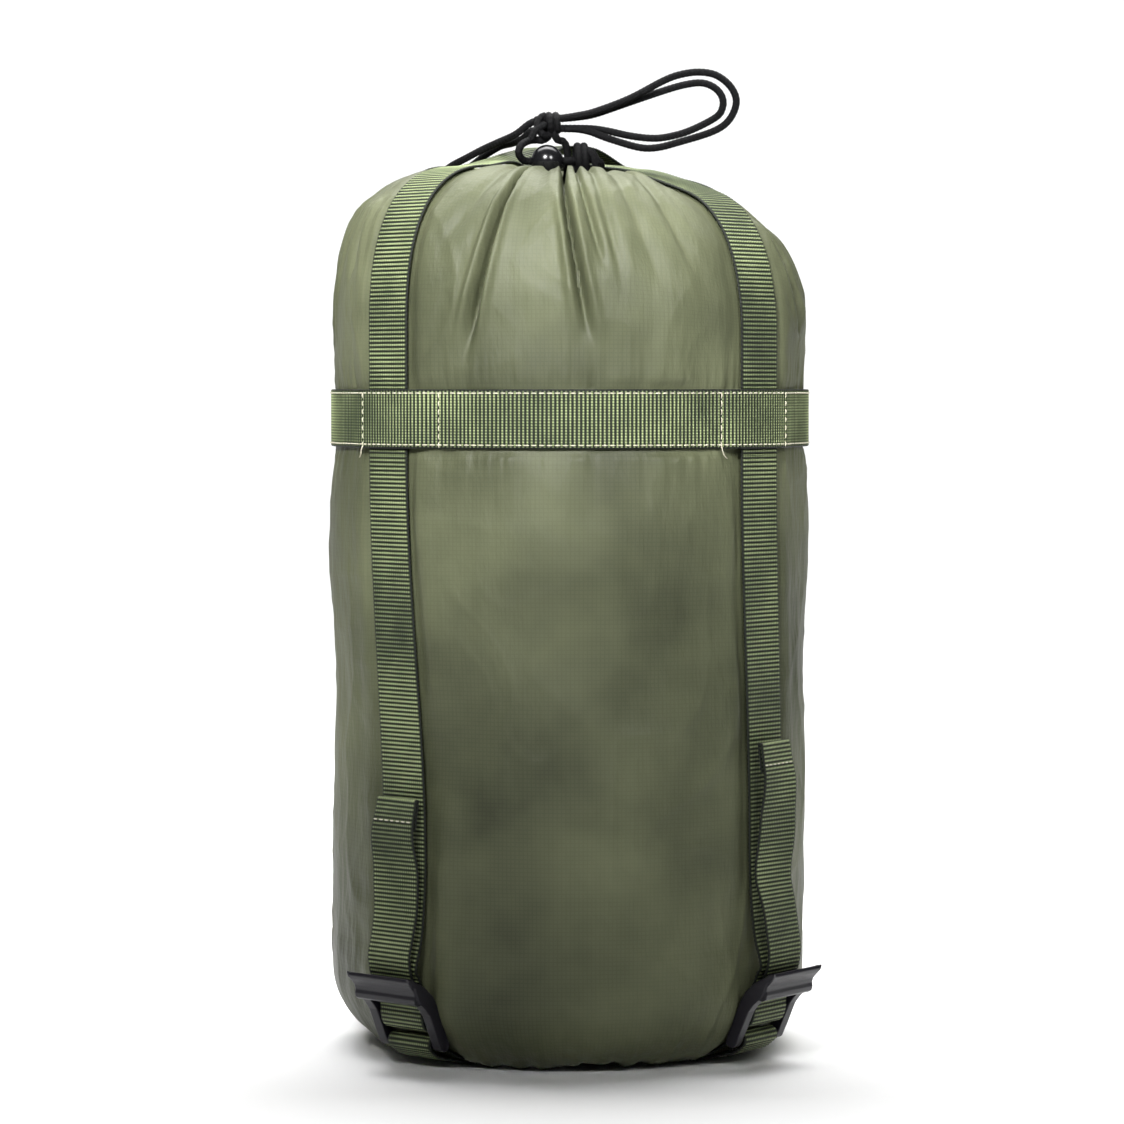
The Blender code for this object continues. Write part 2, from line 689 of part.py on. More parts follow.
def drawcord():
    """The two strands from the channel to the slip knot, its two loops, and the two ends."""
    cord("drawcord_strand_right", [
        (5.2, -16.8, 378.6), (8.0, -21.0, 379.8), (11.4, -26.0, 381.8), (13.4, -31.4, 385.0),
        (13.2, -35.2, 387.6), (11.2, -36.4, 389.0), (8.6, -36.4, 389.2), (1.0, -36.4, 388.9),
        (-4.0, -36.4, 388.6), (-9.9, -36.4, 388.6), (-17.0, -36.4, 388.6), (-20.2, -38.5, 389.0),
        (-22.2, -41.3, 391.6), (-21.2, -40.9, 395.0), (-18.2, -37.4, 397.2),
        (-15.0, -34.2, 397.9), (-11.0, -32.4, 397.8),
    ], spacing=CORD)
    cord("drawcord_strand_left", [
        (-2.5, -17.2, 378.6), (-2.2, -21.6, 380.2), (-1.5, -25.6, 382.8), (-1.1, -28.0, 386.6),
        (-1.1, -28.4, 391.6), (-1.6, -29.4, 395.4), (-3.2, -30.4, 397.6), (-5.4, -31.0, 397.8),
    ], spacing=CORD)
    knot_drum("slip_knot", KNOT_CENTRE, KNOT_RADIUS, KNOT_HALF_LENGTH)
    cord("loop_outer", [
        (-3.3, -33.0, 407.4), (3.0, -33.0, 408.4), (10.9, -33.0, 410.2), (25.7, -33.0, 415.8),
        (40.5, -33.0, 423.5), (48.0, -33.0, 426.2), (55.9, -33.0, 427.2), (63.4, -33.0, 425.8),
        (69.6, -33.0, 420.8), (72.0, -33.0, 414.2), (68.9, -33.0, 406.6), (61.8, -33.0, 401.6),
        (46.5, -33.0, 396.8), (37.4, -33.0, 394.6), (29.5, -33.0, 394.8), (16.5, -33.0, 398.6),
        (9.0, -33.0, 401.4), (3.0, -33.0, 402.6), (-3.3, -33.0, 402.8),
    ])
    cord("loop_inner", [
        (-3.5, -29.2, 407.4), (3.0, -29.2, 408.0), (10.9, -29.2, 409.4), (25.7, -29.4, 414.4),
        (40.5, -29.6, 419.4), (49.7, -29.6, 422.0), (57.1, -29.6, 422.8), (62.6, -29.6, 420.8),
        (65.9, -29.6, 416.9), (66.2, -29.6, 412.3), (63.2, -29.6, 407.9), (51.8, -29.6, 402.1),
        (42.0, -29.6, 399.4), (34.8, -29.6, 398.9), (25.7, -29.4, 400.0), (16.6, -29.2, 402.0),
        (10.0, -29.2, 403.0), (3.0, -29.2, 403.2), (-3.5, -29.2, 403.2),
    ])
    cord("cord_end_upper", [
        (-14.6, -28.6, 406.6), (-18.0, -28.2, 405.0), (-24.0, -26.5, 400.6), (-31.4, -21.0, 397.6),
        (-38.3, -16.0, 394.8), (-45.3, -12.0, 391.4), (-50.8, -7.0, 388.9), (-53.8, 0.0, 387.4),
        (-54.4, 8.0, 387.0), (-53.0, 16.0, 387.0),
    ])
    cord("cord_end_lower", [
        (-14.8, -31.0, 402.4), (-17.4, -30.4, 401.5), (-20.6, -25.8, 398.9), (-25.0, -19.6, 397.4),
        (-30.2, -13.2, 396.5), (-36.0, -8.2, 393.6), (-42.0, -3.4, 389.4), (-46.4, 2.6, 386.4),
        (-49.2, 9.0, 385.7), (-49.6, 16.0, 386.0),
    ])


def stopper_knot():
    """The knot beside the lock: a ring of cord round the right strand."""
    bm = bmesh.new()
    centre, tube, half = 0.0043, 0.0020, 0.0042
    outline = [
        (-half, centre - tube), (half, centre - tube), (half, centre + tube - 0.0008),
        (half - 0.0012, centre + tube), (-half + 0.0012, centre + tube),
        (-half, centre + tube - 0.0008),
    ]
    verts = [bm.verts.new((x, 0, r)) for x, r in outline]
    edges = [bm.edges.new((verts[i - 1], verts[i])) for i in range(len(verts))]
    bmesh.ops.spin(
        bm, geom=verts + edges, cent=(0, 0, 0), axis=(1, 0, 0),
        angle=2 * math.pi, steps=16, use_merge=True,
    )
    obj = add_object("stopper_knot", bm, "cord")
    obj.location = STOPPER_CENTRE
    return obj


def main():
    clear_scene()
    base_panel()
    base_seam_binding()
    lower_sack_wall()
    upper_sack_wall()
    mouth_channel()
    drawcord_ring()
    belt_band()
    top_cross()
    base_cross()
    buckles()
    cord_lock()
    drawcord()
    stopper_knot()


main()
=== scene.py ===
"""The looks of the compression sack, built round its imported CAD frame.

Metres, +Z up, the front is -Y. Azimuths turn from the front (0 degrees) towards +X (90 degrees).
"""

import json
import math
import random

import bmesh
import bpy
import numpy as np
from mathutils import Matrix, Vector, noise


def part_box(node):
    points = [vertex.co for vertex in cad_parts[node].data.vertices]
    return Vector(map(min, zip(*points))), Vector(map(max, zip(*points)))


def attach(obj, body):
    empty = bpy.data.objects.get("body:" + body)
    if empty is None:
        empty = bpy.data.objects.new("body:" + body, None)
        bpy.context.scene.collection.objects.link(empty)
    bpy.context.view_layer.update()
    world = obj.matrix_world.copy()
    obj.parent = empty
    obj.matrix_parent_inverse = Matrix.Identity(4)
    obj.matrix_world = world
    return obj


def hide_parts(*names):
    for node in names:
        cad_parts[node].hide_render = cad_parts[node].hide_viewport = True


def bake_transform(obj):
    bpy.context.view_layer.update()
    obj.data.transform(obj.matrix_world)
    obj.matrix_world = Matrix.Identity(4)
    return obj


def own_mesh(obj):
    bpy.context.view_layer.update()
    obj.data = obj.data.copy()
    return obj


TAU = 2 * math.pi

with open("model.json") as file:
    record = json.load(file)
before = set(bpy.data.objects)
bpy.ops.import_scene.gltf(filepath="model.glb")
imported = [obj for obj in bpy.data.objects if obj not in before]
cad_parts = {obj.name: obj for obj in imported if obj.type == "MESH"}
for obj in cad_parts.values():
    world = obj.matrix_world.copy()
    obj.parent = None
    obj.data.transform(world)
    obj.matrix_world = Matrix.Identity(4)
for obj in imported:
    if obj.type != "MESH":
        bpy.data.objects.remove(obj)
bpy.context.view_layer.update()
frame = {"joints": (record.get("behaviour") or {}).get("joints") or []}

# ---- Dimensions, from the frame -----------------------------------------------------------------
WALL_LOW, WALL_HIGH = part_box("upper_sack_wall")
BAND_LOW, BAND_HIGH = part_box("belt_band")
BODY_RADIUS = WALL_HIGH.x
SPLIT_Z = WALL_LOW.z
CREST_Z = WALL_HIGH.z
BASE_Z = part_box("lower_sack_wall")[0].z
BASE_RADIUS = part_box("base_panel")[1].x
CORNER_RADIUS = BODY_RADIUS - BASE_RADIUS
BAND_LOW_Z, BAND_HIGH_Z = BAND_LOW.z, BAND_HIGH.z
BAND_MID_Z = (BAND_LOW_Z + BAND_HIGH_Z) / 2
MOUTH_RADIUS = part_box("mouth_channel")[1].x + 0.0006
RING_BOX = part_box("drawcord_ring")

# The same shape rules as the CAD solids.
SHOULDER_Z = 0.315
CREST_RADIUS = 0.056
SHOULDER_FULLNESS = 2.5
MOUTH_DIP = 0.0115
MOUTH_DIP_POWER = 1.1
GAP = 0.0003
WEB_WIDTH = 0.025
WEB = 0.0013
STRAP_RADIUS = BODY_RADIUS + GAP + WEB / 2
TOP_CROSS = {"a": -47.5, "b": 50.0}
BASE_CROSS = {"a": -42.0, "b": 53.0}
PLACES = {
    "front_left": ("a", 0),
    "front_right": ("b", 0),
    "rear_right": ("a", 180),
    "rear_left": ("b", 180),
}
TOP_AZIMUTH = {place: TOP_CROSS[strap] + half for place, (strap, half) in PLACES.items()}
BASE_AZIMUTH = {place: BASE_CROSS[strap] + half for place, (strap, half) in PLACES.items()}
HINGES = {j["name"]: Vector(j["pos_m"]) for j in frame["joints"] if j["type"] == "hinge"}
ANCHOR_POINT = HINGES["buckle_tilt_front_left"]
ANCHOR = (ANCHOR_POINT.xy.length, ANCHOR_POINT.z)
BUCKLE_LEAN = math.radians(23)

CORD = 0.0032
LOCK_LOW, LOCK_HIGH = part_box("cord_lock_barrel")
LOCK_AXIS = Vector(((LOCK_LOW.x + LOCK_HIGH.x) / 2, 0, (LOCK_LOW.z + LOCK_HIGH.z) / 2))
LOCK_RADIUS = (LOCK_HIGH.x - LOCK_LOW.x) / 2


# ---- Small helpers ------------------------------------------------------------------------------
def smooth_step(t):
    t = min(1.0, max(0.0, t))
    return t * t * (3 - 2 * t)


def at_azimuth(degrees):
    """(outward, sideways) unit vectors of the upright plane at this azimuth."""
    a = math.radians(degrees)
    return Vector((math.sin(a), -math.cos(a), 0)), Vector((math.cos(a), math.sin(a), 0))


def arc(centre, radius, start, end, steps):
    """(r, z) points of an arc; angles in degrees, 0 along +r and 90 along +z."""
    angles = [math.radians(start + (end - start) * i / steps) for i in range(steps + 1)]
    return [(centre[0] + radius * math.cos(a), centre[1] + radius * math.sin(a)) for a in angles]


def polyline_length(points):
    return sum((b - a).length for a, b in zip(points, points[1:]))


def catmull_rom(points, steps):
    """A Catmull-Rom curve through vectors of any size, in this many steps for each stretch."""
    padded = [2 * points[0] - points[1], *points, 2 * points[-1] - points[-2]]
    fine = []
    for p0, p1, p2, p3 in zip(padded, padded[1:], padded[2:], padded[3:]):
        for i in range(steps):
            t = i / steps
            fine.append(
                0.5 * (2 * p1 + (p2 - p0) * t + (2 * p0 - 5 * p1 + 4 * p2 - p3) * t * t
                       + (3 * p1 - p0 - 3 * p2 + p3) * t ** 3)
            )
    return [*fine, points[-1]]


def smooth_route(points, spacing):
    """Evenly spaced points on the curve through these vectors."""
    fine = catmull_rom(points, 24)
    length = polyline_length(fine)
    count = max(2, round(length / spacing))
    kept, walked, wanted = [fine[0]], 0.0, length / count
    for a, b in zip(fine, fine[1:]):
        step = (b - a).length
        while len(kept) < count and walked + step >= wanted * len(kept):
            kept.append(a.lerp(b, (wanted * len(kept) - walked) / step))
        walked += step
    return kept + [fine[-1]]


def mesh_object(name, points, faces, material, uvs=None):
    """A smooth-shaded mesh object; uvs is one (u, v) for each corner of each face, in order."""
    mesh = bpy.data.meshes.new(name)
    mesh.from_pydata([tuple(p) for p in points], [], faces)
    mesh.shade_smooth()
    if uvs is not None:
        layer = mesh.uv_layers.new(name="weave")
        layer.data.foreach_set("uv", np.asarray(uvs, np.float32).ravel())
    mesh.materials.append(material)
    obj = bpy.data.objects.new(name, mesh)
    bpy.context.scene.collection.objects.link(obj)
    return obj


def circle(centre, first, second, radius, around):
    """Points round centre in the plane of two unit vectors."""
    angles = [TAU * k / around for k in range(around)]
    return [centre + (first * math.cos(a) + second * math.sin(a)) * radius for a in angles]


def tube_faces(rings, around):
    """Quads between rings of `around` points each, with the ends closed by one polygon each."""
    faces = []
    for i in range(rings - 1):
        for k in range(around):
            n, here, there = (k + 1) % around, i * around, (i + 1) * around
            faces.append((here + k, here + n, there + n, there + k))
    faces.append(tuple(reversed(range(around))))
    faces.append(tuple(range((rings - 1) * around, rings * around)))
    return faces


def ring_corners(count, section):
    """(ring, point) corners of each face of a section carried right round; rings don't wrap."""
    for i in range(count):
        for k in range(section):
            n = (k + 1) % section
            yield (i, k), (i + 1, k), (i + 1, n), (i, n)


def tube_uvs(faces, around, u_of_ring, v_of_point, v_span):
    """Corner UVs for tube_faces, unwrapped so that v doesn't jump back at the seam."""
    uvs = []
    for face in faces:
        ks = [i % around for i in face]
        wraps = len(face) == 4 and 0 in ks and around - 1 in ks
        for i in face:
            k = i % around
            v = v_of_point[k] + (v_span if wraps and k == 0 else 0.0)
            uvs.append((u_of_ring[i // around], v))
    return uvs


def stands_for(obj, node, body):
    """obj is shown instead of this CAD node, and rides on body."""
    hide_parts(node)
    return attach(obj, body)


def evaluated_mesh(obj):
    """The object's mesh with its modifiers applied, as new data."""
    bpy.context.view_layer.update()
    graph = bpy.context.evaluated_depsgraph_get()
    return bpy.data.meshes.new_from_object(obj.evaluated_get(graph))


# ---- Materials ----------------------------------------------------------------------------------
class Shading:
    """A new material and the node tree of its Principled shader."""

    def __init__(self, name, colour, roughness):
        self.material = bpy.data.materials.new(name)
        self.material.use_nodes = True
        self.nodes = self.material.node_tree.nodes
        self.links = self.material.node_tree.links
        self.shader = self.nodes["Principled BSDF"]
        self.set("Base Color", (*colour, 1))
        self.set("Roughness", roughness)

    def set(self, socket, value):
        self.shader.inputs[socket].default_value = value

    def feed(self, socket, output):
        self.links.new(output, self.shader.inputs[socket])

    def node(self, kind, **values):
        """A new node with these input values; spaces in a socket's name are written as _."""
        made = self.nodes.new("ShaderNode" + kind)
        for name, value in values.items():
            made.inputs[name.replace("_", " ")].default_value = value
        return made

    def math(self, operation, a, b=None):
        """A Math node whose inputs are sockets or numbers; returns its output."""
        made = self.node("Math")
        made.operation = operation
        for i, value in enumerate((a, b)):
            if isinstance(value, (int, float)):
                made.inputs[i].default_value = value
            elif value is not None:
                self.links.new(value, made.inputs[i])
        return made.outputs[0]

    def wave(self, coordinate, pitch):
        """A 0 to 1 cosine of a coordinate in metres."""
        cosine = self.math("COSINE", self.math("MULTIPLY", coordinate, TAU / pitch))
        return self.math("ADD", self.math("MULTIPLY", cosine, 0.5), 0.5)

    def weave(self):
        """The u and v sockets of the weave's UV map, in metres."""
        uv = self.node("UVMap")
        uv.uv_map = "weave"
        split = self.node("SeparateXYZ")
        self.links.new(uv.outputs["UV"], split.inputs[0])
        return split.outputs["X"], split.outputs["Y"]

    def place(self):
        return self.node("TexCoord").outputs["Object"]

    def noise(self, vector, scale, detail=3.0):
        made = self.node("TexNoise", Scale=scale, Detail=detail, Roughness=0.55)
        self.links.new(vector, made.inputs["Vector"])
        return made.outputs["Fac"]

    def ramp(self, factor, stops):
        """A colour ramp with (position, colour) stops."""
        made = self.node("ValToRGB")
        elements = made.color_ramp.elements
        while len(elements) < len(stops):
            elements.new(0.5)
        for element, (position, colour) in zip(elements, stops):
            element.position = position
            element.color = (*colour, 1)
        self.links.new(factor, made.inputs["Fac"])
        return made.outputs["Color"]

    def span(self, value, low, high):
        """A 0 to 1 value stretched to run from low to high."""
        made = self.node("MapRange", To_Min=low, To_Max=high)
        self.links.new(value, made.inputs["Value"])
        return made.outputs["Result"]

    def bump(self, height, distance, strength, before=None):
        made = self.node("Bump", Distance=distance, Strength=strength)
        self.links.new(height, made.inputs["Height"])
        if before is not None:
            self.links.new(before, made.inputs["Normal"])
        self.feed("Normal", made.outputs["Normal"])
        return made.outputs["Normal"]


def nylon_material():
    """Satin nylon taffeta with a fine grid of thicker threads and soft creases."""
    thread_pitch, grid_pitch = 0.00042, 0.0018
    m = Shading("nylon_cloth", (0.1, 0.11, 0.06), 0.42)
    u, v = m.weave()
    place = m.place()
    mottle = m.noise(place, 9.0, detail=4.0)
    threads = m.math("MAXIMUM", m.wave(u, thread_pitch), m.wave(v, thread_pitch))
    grid_lines = [m.math("POWER", m.wave(c, grid_pitch), 6.0) for c in (u, v)]
    grid = m.math("MAXIMUM", *grid_lines)
    fine = m.math("ADD", m.math("MULTIPLY", threads, 0.35), grid)
    shade = m.math("SUBTRACT", mottle, m.math("MULTIPLY", grid, 0.04))
    m.feed("Base Color", m.ramp(shade, [
        (0.30, (0.034, 0.038, 0.021)), (0.50, (0.079, 0.086, 0.048)),
        (0.70, (0.124, 0.134, 0.076)),
    ]))
    stretched = m.node("Mapping", Scale=(1.6, 1.6, 0.5))
    m.links.new(place, stretched.inputs["Vector"])
    creases = m.bump(m.noise(stretched.outputs["Vector"], 42.0, detail=5.0), 0.0022, 0.9)
    m.bump(fine, 0.00003, 0.4, before=creases)
    m.feed("Roughness", m.span(mottle, 0.44, 0.58))
    m.set("Specular IOR Level", 0.20)
    return m.material


RIB_PITCH = 0.0018
ROW_PITCH = 0.0012


def webbing_material():
    """Ribbed webbing: u runs along it and v across it."""
    # Width of the painted shade along each edge of the strap: a dark line in place of the shadow
    # that the raised edge casts.
    edge_shade_width = 0.0007
    m = Shading("webbing_weave", (0.1, 0.15, 0.06), 0.7)
    u, v = m.weave()
    row = m.span(m.wave(v, ROW_PITCH), 0.50, 1.0)
    speck = m.math("MULTIPLY", m.wave(u, RIB_PITCH), row)
    # Painted shade: outside this mask the strap's edges take the ramp's darkest colour and lose
    # their ribs.
    inside = m.math("LESS_THAN", m.math("ABSOLUTE", v), WEB_WIDTH / 2 - edge_shade_width)
    height = m.math("MULTIPLY", speck, inside)
    wear = m.noise(m.place(), 24.0, detail=5.0)
    shade = m.math("MULTIPLY", height, m.span(wear, 0.10, 1.75))
    # Painted light: the ramp paints each rib's top as a lit, pale green and the grooves between
    # ribs as near-black shade; the wear noise varies this contrast at random.
    m.feed("Base Color", m.ramp(shade, [
        (0.08, (0.004, 0.006, 0.003)), (0.40, (0.048, 0.066, 0.027)),
        (0.95, (0.330, 0.385, 0.190)),
    ]))
    m.bump(height, 0.00030, 0.9)
    m.feed("Roughness", m.span(wear, 0.5, 0.8))
    m.set("Specular IOR Level", 0.3)
    return m.material


def cord_material():
    """Black braid: u runs along the cord and v round it."""
    pitch = 0.0009
    m = Shading("cord_braid", (0.008, 0.008, 0.009), 0.62)
    u, v = m.weave()
    lays = [m.wave(m.math(turn, u, v), pitch) for turn in ("ADD", "SUBTRACT")]
    braid = m.math("MULTIPLY", *lays)
    # Painted light: the ramp paints the braid's raised strands lighter and the grooves between
    # them near black, following the same relief as the bump.
    m.feed("Base Color", m.ramp(braid, [
        (0.05, (0.0006, 0.0006, 0.0008)), (0.55, (0.0026, 0.0026, 0.003)),
        (1.0, (0.015, 0.015, 0.017)),
    ]))
    m.bump(braid, 0.0003, 0.8)
    m.set("Specular IOR Level", 0.12)
    return m.material


def plastic_material(name, colour, roughness, grain):
    """Moulded plastic with a faint grain and uneven gloss."""
    m = Shading(name, colour, roughness)
    place = m.place()
    smudge = m.noise(place, 90.0, detail=4.0)
    m.feed("Roughness", m.span(smudge, roughness * 0.8, roughness * 1.3))
    lighter = tuple(1.5 * c for c in colour)
    m.feed("Base Color", m.ramp(smudge, [(0.2, colour), (0.9, lighter)]))
    m.bump(m.noise(place, 2600.0), grain, 0.5)
    m.set("Specular IOR Level", 0.35)
    return m.material


def thread_material():
    """Cream sewing thread."""
    m = Shading("thread_cream", (0.5, 0.46, 0.36), 0.7)
    twist = m.noise(m.place(), 1500.0)
    m.feed("Base Color", m.ramp(twist, [(0.2, (0.36, 0.33, 0.24)), (0.8, (0.68, 0.64, 0.52))]))
    m.bump(twist, 0.0002, 0.6)
    return m.material


def steel_material():
    """Spring wire with drawing marks."""
    m = Shading("spring_wire", (0.5, 0.5, 0.51), 0.3)
    m.set("Metallic", 1.0)
    marks = m.noise(m.place(), 1200.0)
    m.feed("Roughness", m.span(marks, 0.25, 0.45))
    m.bump(marks, 0.00003, 0.4)
    return m.material


NYLON = nylon_material()
WEBBING = webbing_material()
BRAID = cord_material()
BUCKLE_PLASTIC = plastic_material("buckle_moulded", (0.0060, 0.0052, 0.0085), 0.34, 0.00004)
LOCK_PLASTIC = plastic_material("lock_polished", (0.004, 0.004, 0.0045), 0.20, 0.00001)
THREAD = thread_material()
STEEL = steel_material()


# ---- Camera, light and floor --------------------------------------------------------------------
LENS_MM = 127.9
CAMERA_PLACE = (-0.0035, -1.770, 0.291)
CAMERA_PITCH_DOWN = 2.51


def camera():
    """A long lens level with the belt's top edge, pitched down a little."""
    data = bpy.data.cameras.new("camera")
    data.lens = LENS_MM
    data.sensor_width = 36.0
    obj = bpy.data.objects.new("camera", data)
    obj.location = CAMERA_PLACE
    obj.rotation_euler = (math.radians(90 - CAMERA_PITCH_DOWN), 0, 0)
    bpy.context.scene.collection.objects.link(obj)
    bpy.context.scene.camera = obj


# (name, place, aim, width and height, watts, spread in degrees)
LIGHTS = (
    ("key_light", (-0.34, -1.22, 1.00), (-0.02, -0.04, 0.405), (0.40, 0.40), 1.55, 26),
    ("side_light", (0.62, -1.15, 0.92), (0.04, -0.04, 0.395), (0.40, 0.40), 0.50, 26),
    ("front_light", (-0.10, -2.20, 1.10), (0, 0, 0.20), (1.00, 1.00), 0.05, 100),
    ("floor_light", (0, 0.50, 1.60), (0, 0.30, 0), (2.40, 1.00), 27, 110),
    ("wall_light", (0, 1.00, 1.40), (0, 3.00, 0.60), (4.00, 1.20), 37, 150),
)


def area_light(name, place, target, size, power, spread):
    data = bpy.data.lights.new(name, "AREA")
    data.shape = "ELLIPSE"
    data.size, data.size_y = size
    data.energy = power
    data.spread = math.radians(spread)
    obj = bpy.data.objects.new(name, data)
    obj.location = place
    obj.rotation_euler = (Vector(target) - Vector(place)).to_track_quat("-Z", "Y").to_euler()
    bpy.context.scene.collection.objects.link(obj)


def studio():
    """A white sweep under and behind the sack, soft lights and a pale surround."""
    half_width, front, bend_start, bend, top = 5.0, -4.0, 1.6, 1.2, 4.5
    profile = [(front, 0.0), (bend_start, 0.0)]
    profile += [(y, z + bend) for y, z in arc((bend_start, 0.0), bend, -90, 0, 16)[1:]]
    profile.append((bend_start + bend, top))
    points = [Vector((x, y, z)) for y, z in profile for x in (-half_width, half_width)]
    faces = [(2 * i, 2 * i + 1, 2 * i + 3, 2 * i + 2) for i in range(len(profile) - 1)]
    white = Shading("studio_white", (0.92, 0.92, 0.92), 0.9).material
    mesh_object("studio_sweep", points, faces, white)
    for light in LIGHTS:
        area_light(*light)
    world = bpy.data.worlds.new("surround")
    world.use_nodes = True
    world.node_tree.nodes["Background"].inputs["Color"].default_value = (1, 1, 1, 1)
    world.node_tree.nodes["Background"].inputs["Strength"].default_value = 0.05
    bpy.context.scene.world = world
    bpy.context.scene.view_settings.view_transform = "Standard"


# ---- Cords and knots ----------------------------------------------------------------------------
BRAID_RELIEF = 0.00016
BRAID_STRANDS = 4
BRAID_LAY = 0.0036


def cord_tube(name, centres, diameter, around=20):
    """A braided cord as a mesh tube along closely spaced centres, its ends rounded off."""
    frames = []
    normal = (centres[1] - centres[0]).orthogonal().normalized()
    for i, point in enumerate(centres):
        along = (centres[min(i + 1, len(centres) - 1)] - centres[max(i - 1, 0)]).normalized()
        normal = (normal - along * normal.dot(along)).normalized()
        frames.append((point, normal, along.cross(normal)))
    points, lengths = [], []
    walked = 0.0
    for i, (point, n, b) in enumerate(frames):
        if i:
            walked += (point - frames[i - 1][0]).length
        end = min(i, len(frames) - 1 - i)
        radius = diameter / 2 * (0.55, 0.86, 1.0)[min(end, 2)]
        lengths.append(walked)
        for k in range(around):
            a = TAU * k / around
            lay = TAU * walked / BRAID_LAY
            relief = math.sin(BRAID_STRANDS * a + lay) * math.sin(BRAID_STRANDS * a - lay)
            r = radius + BRAID_RELIEF * relief
            points.append(point + n * (r * math.cos(a)) + b * (r * math.sin(a)))
    faces = tube_faces(len(frames), around)
    girth = math.pi * diameter
    uvs = tube_uvs(faces, around, lengths, [girth * k / around for k in range(around)], girth)
    return mesh_object(name, points, faces, BRAID, uvs)


CORD_STEP = 0.0004


def free_cord(name, route_mm):
    """One length of drawcord through the CAD solid's own route, in millimetres."""
    route = [Vector(p) / 1000 for p in route_mm]
    centres = smooth_route(route, CORD_STEP)
    obj = cord_tube(name + "_cord", centres, CORD)
    stands_for(obj, name, "crown")
    return obj


def knot_wraps(name, parts, node):
    """A knot: several short cords that cross and wrap, joined as one object."""
    routes = [smooth_route(points, CORD_STEP) for points in parts]
    made = [cord_tube(f"{name}_{i}", route, CORD) for i, route in enumerate(routes)]
    bm = bmesh.new()
    for obj in made:
        bm.from_mesh(obj.data)
    mesh = bpy.data.meshes.new(name)
    bm.to_mesh(mesh)
    bm.free()
    mesh.shade_smooth()
    mesh.materials.append(BRAID)
    for obj in made:
        bpy.data.objects.remove(obj)
    knot = bpy.data.objects.new(name, mesh)
    bpy.context.scene.collection.objects.link(knot)
    return stands_for(knot, node, "crown")


def wrap_turns(centre, radius, start_x, end_x, turns, phase, steps_per_turn=16):
    """Points of a helix about X."""
    count = round(turns * steps_per_turn)
    points = []
    for i in range(count + 1):
        a = phase + TAU * turns * i / count
        x = start_x + (end_x - start_x) * i / count
        points.append(centre + Vector((x, radius * math.cos(a), radius * math.sin(a))))
    return points


# Millimetres: the strands that come up out of the lock and tuck into the slip knot.
SLIP_KNOT_STRANDS = (
    [(-15.6, -31.0, 402.6), (-11.0, -31.6, 403.4), (-6.0, -32.6, 403.0), (-2.2, -33.0, 402.8)],
    [(-15.6, -28.6, 406.9), (-11.0, -29.0, 407.2), (-6.0, -29.2, 407.4), (-2.2, -29.2, 407.4)],
    [(-12.0, -32.4, 407.2), (-8.0, -33.0, 407.4), (-5.0, -33.0, 407.4), (-2.2, -33.0, 407.4)],
    [(-12.0, -29.6, 402.4), (-8.0, -29.2, 402.8), (-5.0, -29.2, 403.2), (-2.2, -29.2, 403.2)],
    [(-14.4, -34.0, 397.8), (-12.0, -33.0, 397.9), (-10.0, -32.6, 398.8), (-8.9, -32.4, 400.8),
     (-8.6, -31.6, 403.2)],
    [(-3.8, -30.6, 397.7), (-5.4, -31.4, 398.2), (-6.4, -32.4, 399.8), (-6.8, -32.6, 402.0),
     (-7.0, -31.8, 404.0)],
    [(-9.4, -33.6, 399.0), (-11.8, -35.2, 400.2), (-13.8, -35.6, 402.4), (-14.0, -34.8, 405.2),
     (-12.6, -33.4, 407.6), (-10.2, -32.6, 408.6)],
    [(-17.6, -36.6, 396.8), (-16.4, -36.6, 399.2), (-15.0, -36.4, 401.6), (-12.8, -35.6, 403.4),
     (-10.4, -34.6, 404.8)],
)
# Millimetres from the stopper knot's middle.
STOPPER_TUCKS = (
    [(2.4, -3.4, 2.8), (4.6, -3.6, 2.0), (6.0, -3.4, 0.0), (7.0, -2.8, -2.6), (7.2, -1.6, -5.2)],
    [(2.4, 2.6, 3.4), (4.8, 1.4, 3.0), (6.6, 0.2, 0.8), (7.4, 0.0, -2.0), (6.8, 0.4, -5.0)],
)


def slip_knot():
    """Two turns round the doubled loop, with the strands that come up out of the lock."""
    low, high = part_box("slip_knot")
    radius = (high.z - low.z) / 2 - CORD / 2
    wraps = wrap_turns((low + high) / 2, radius, -0.0022, 0.0036, 2.0, math.radians(-110))
    strands = [[Vector(p) / 1000 for p in points] for points in SLIP_KNOT_STRANDS]
    return knot_wraps("slip_knot_wraps", [wraps, *strands], "slip_knot")


def stopper_knot():
    """Two upright turns and the tuck that slopes away to the right."""
    low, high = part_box("stopper_knot")
    centre = (low + high) / 2 + Vector((-0.0010, 0, 0.0008))
    radius = (high.z - low.z) / 2 - CORD / 2 + 0.0004
    wraps = wrap_turns(centre, radius, -0.0024, 0.0032, 2.0, math.radians(-100))
    tucks = [[centre + Vector(p) / 1000 for p in points] for points in STOPPER_TUCKS]
    return knot_wraps("stopper_knot_wraps", [wraps, *tucks], "stopper_knot")


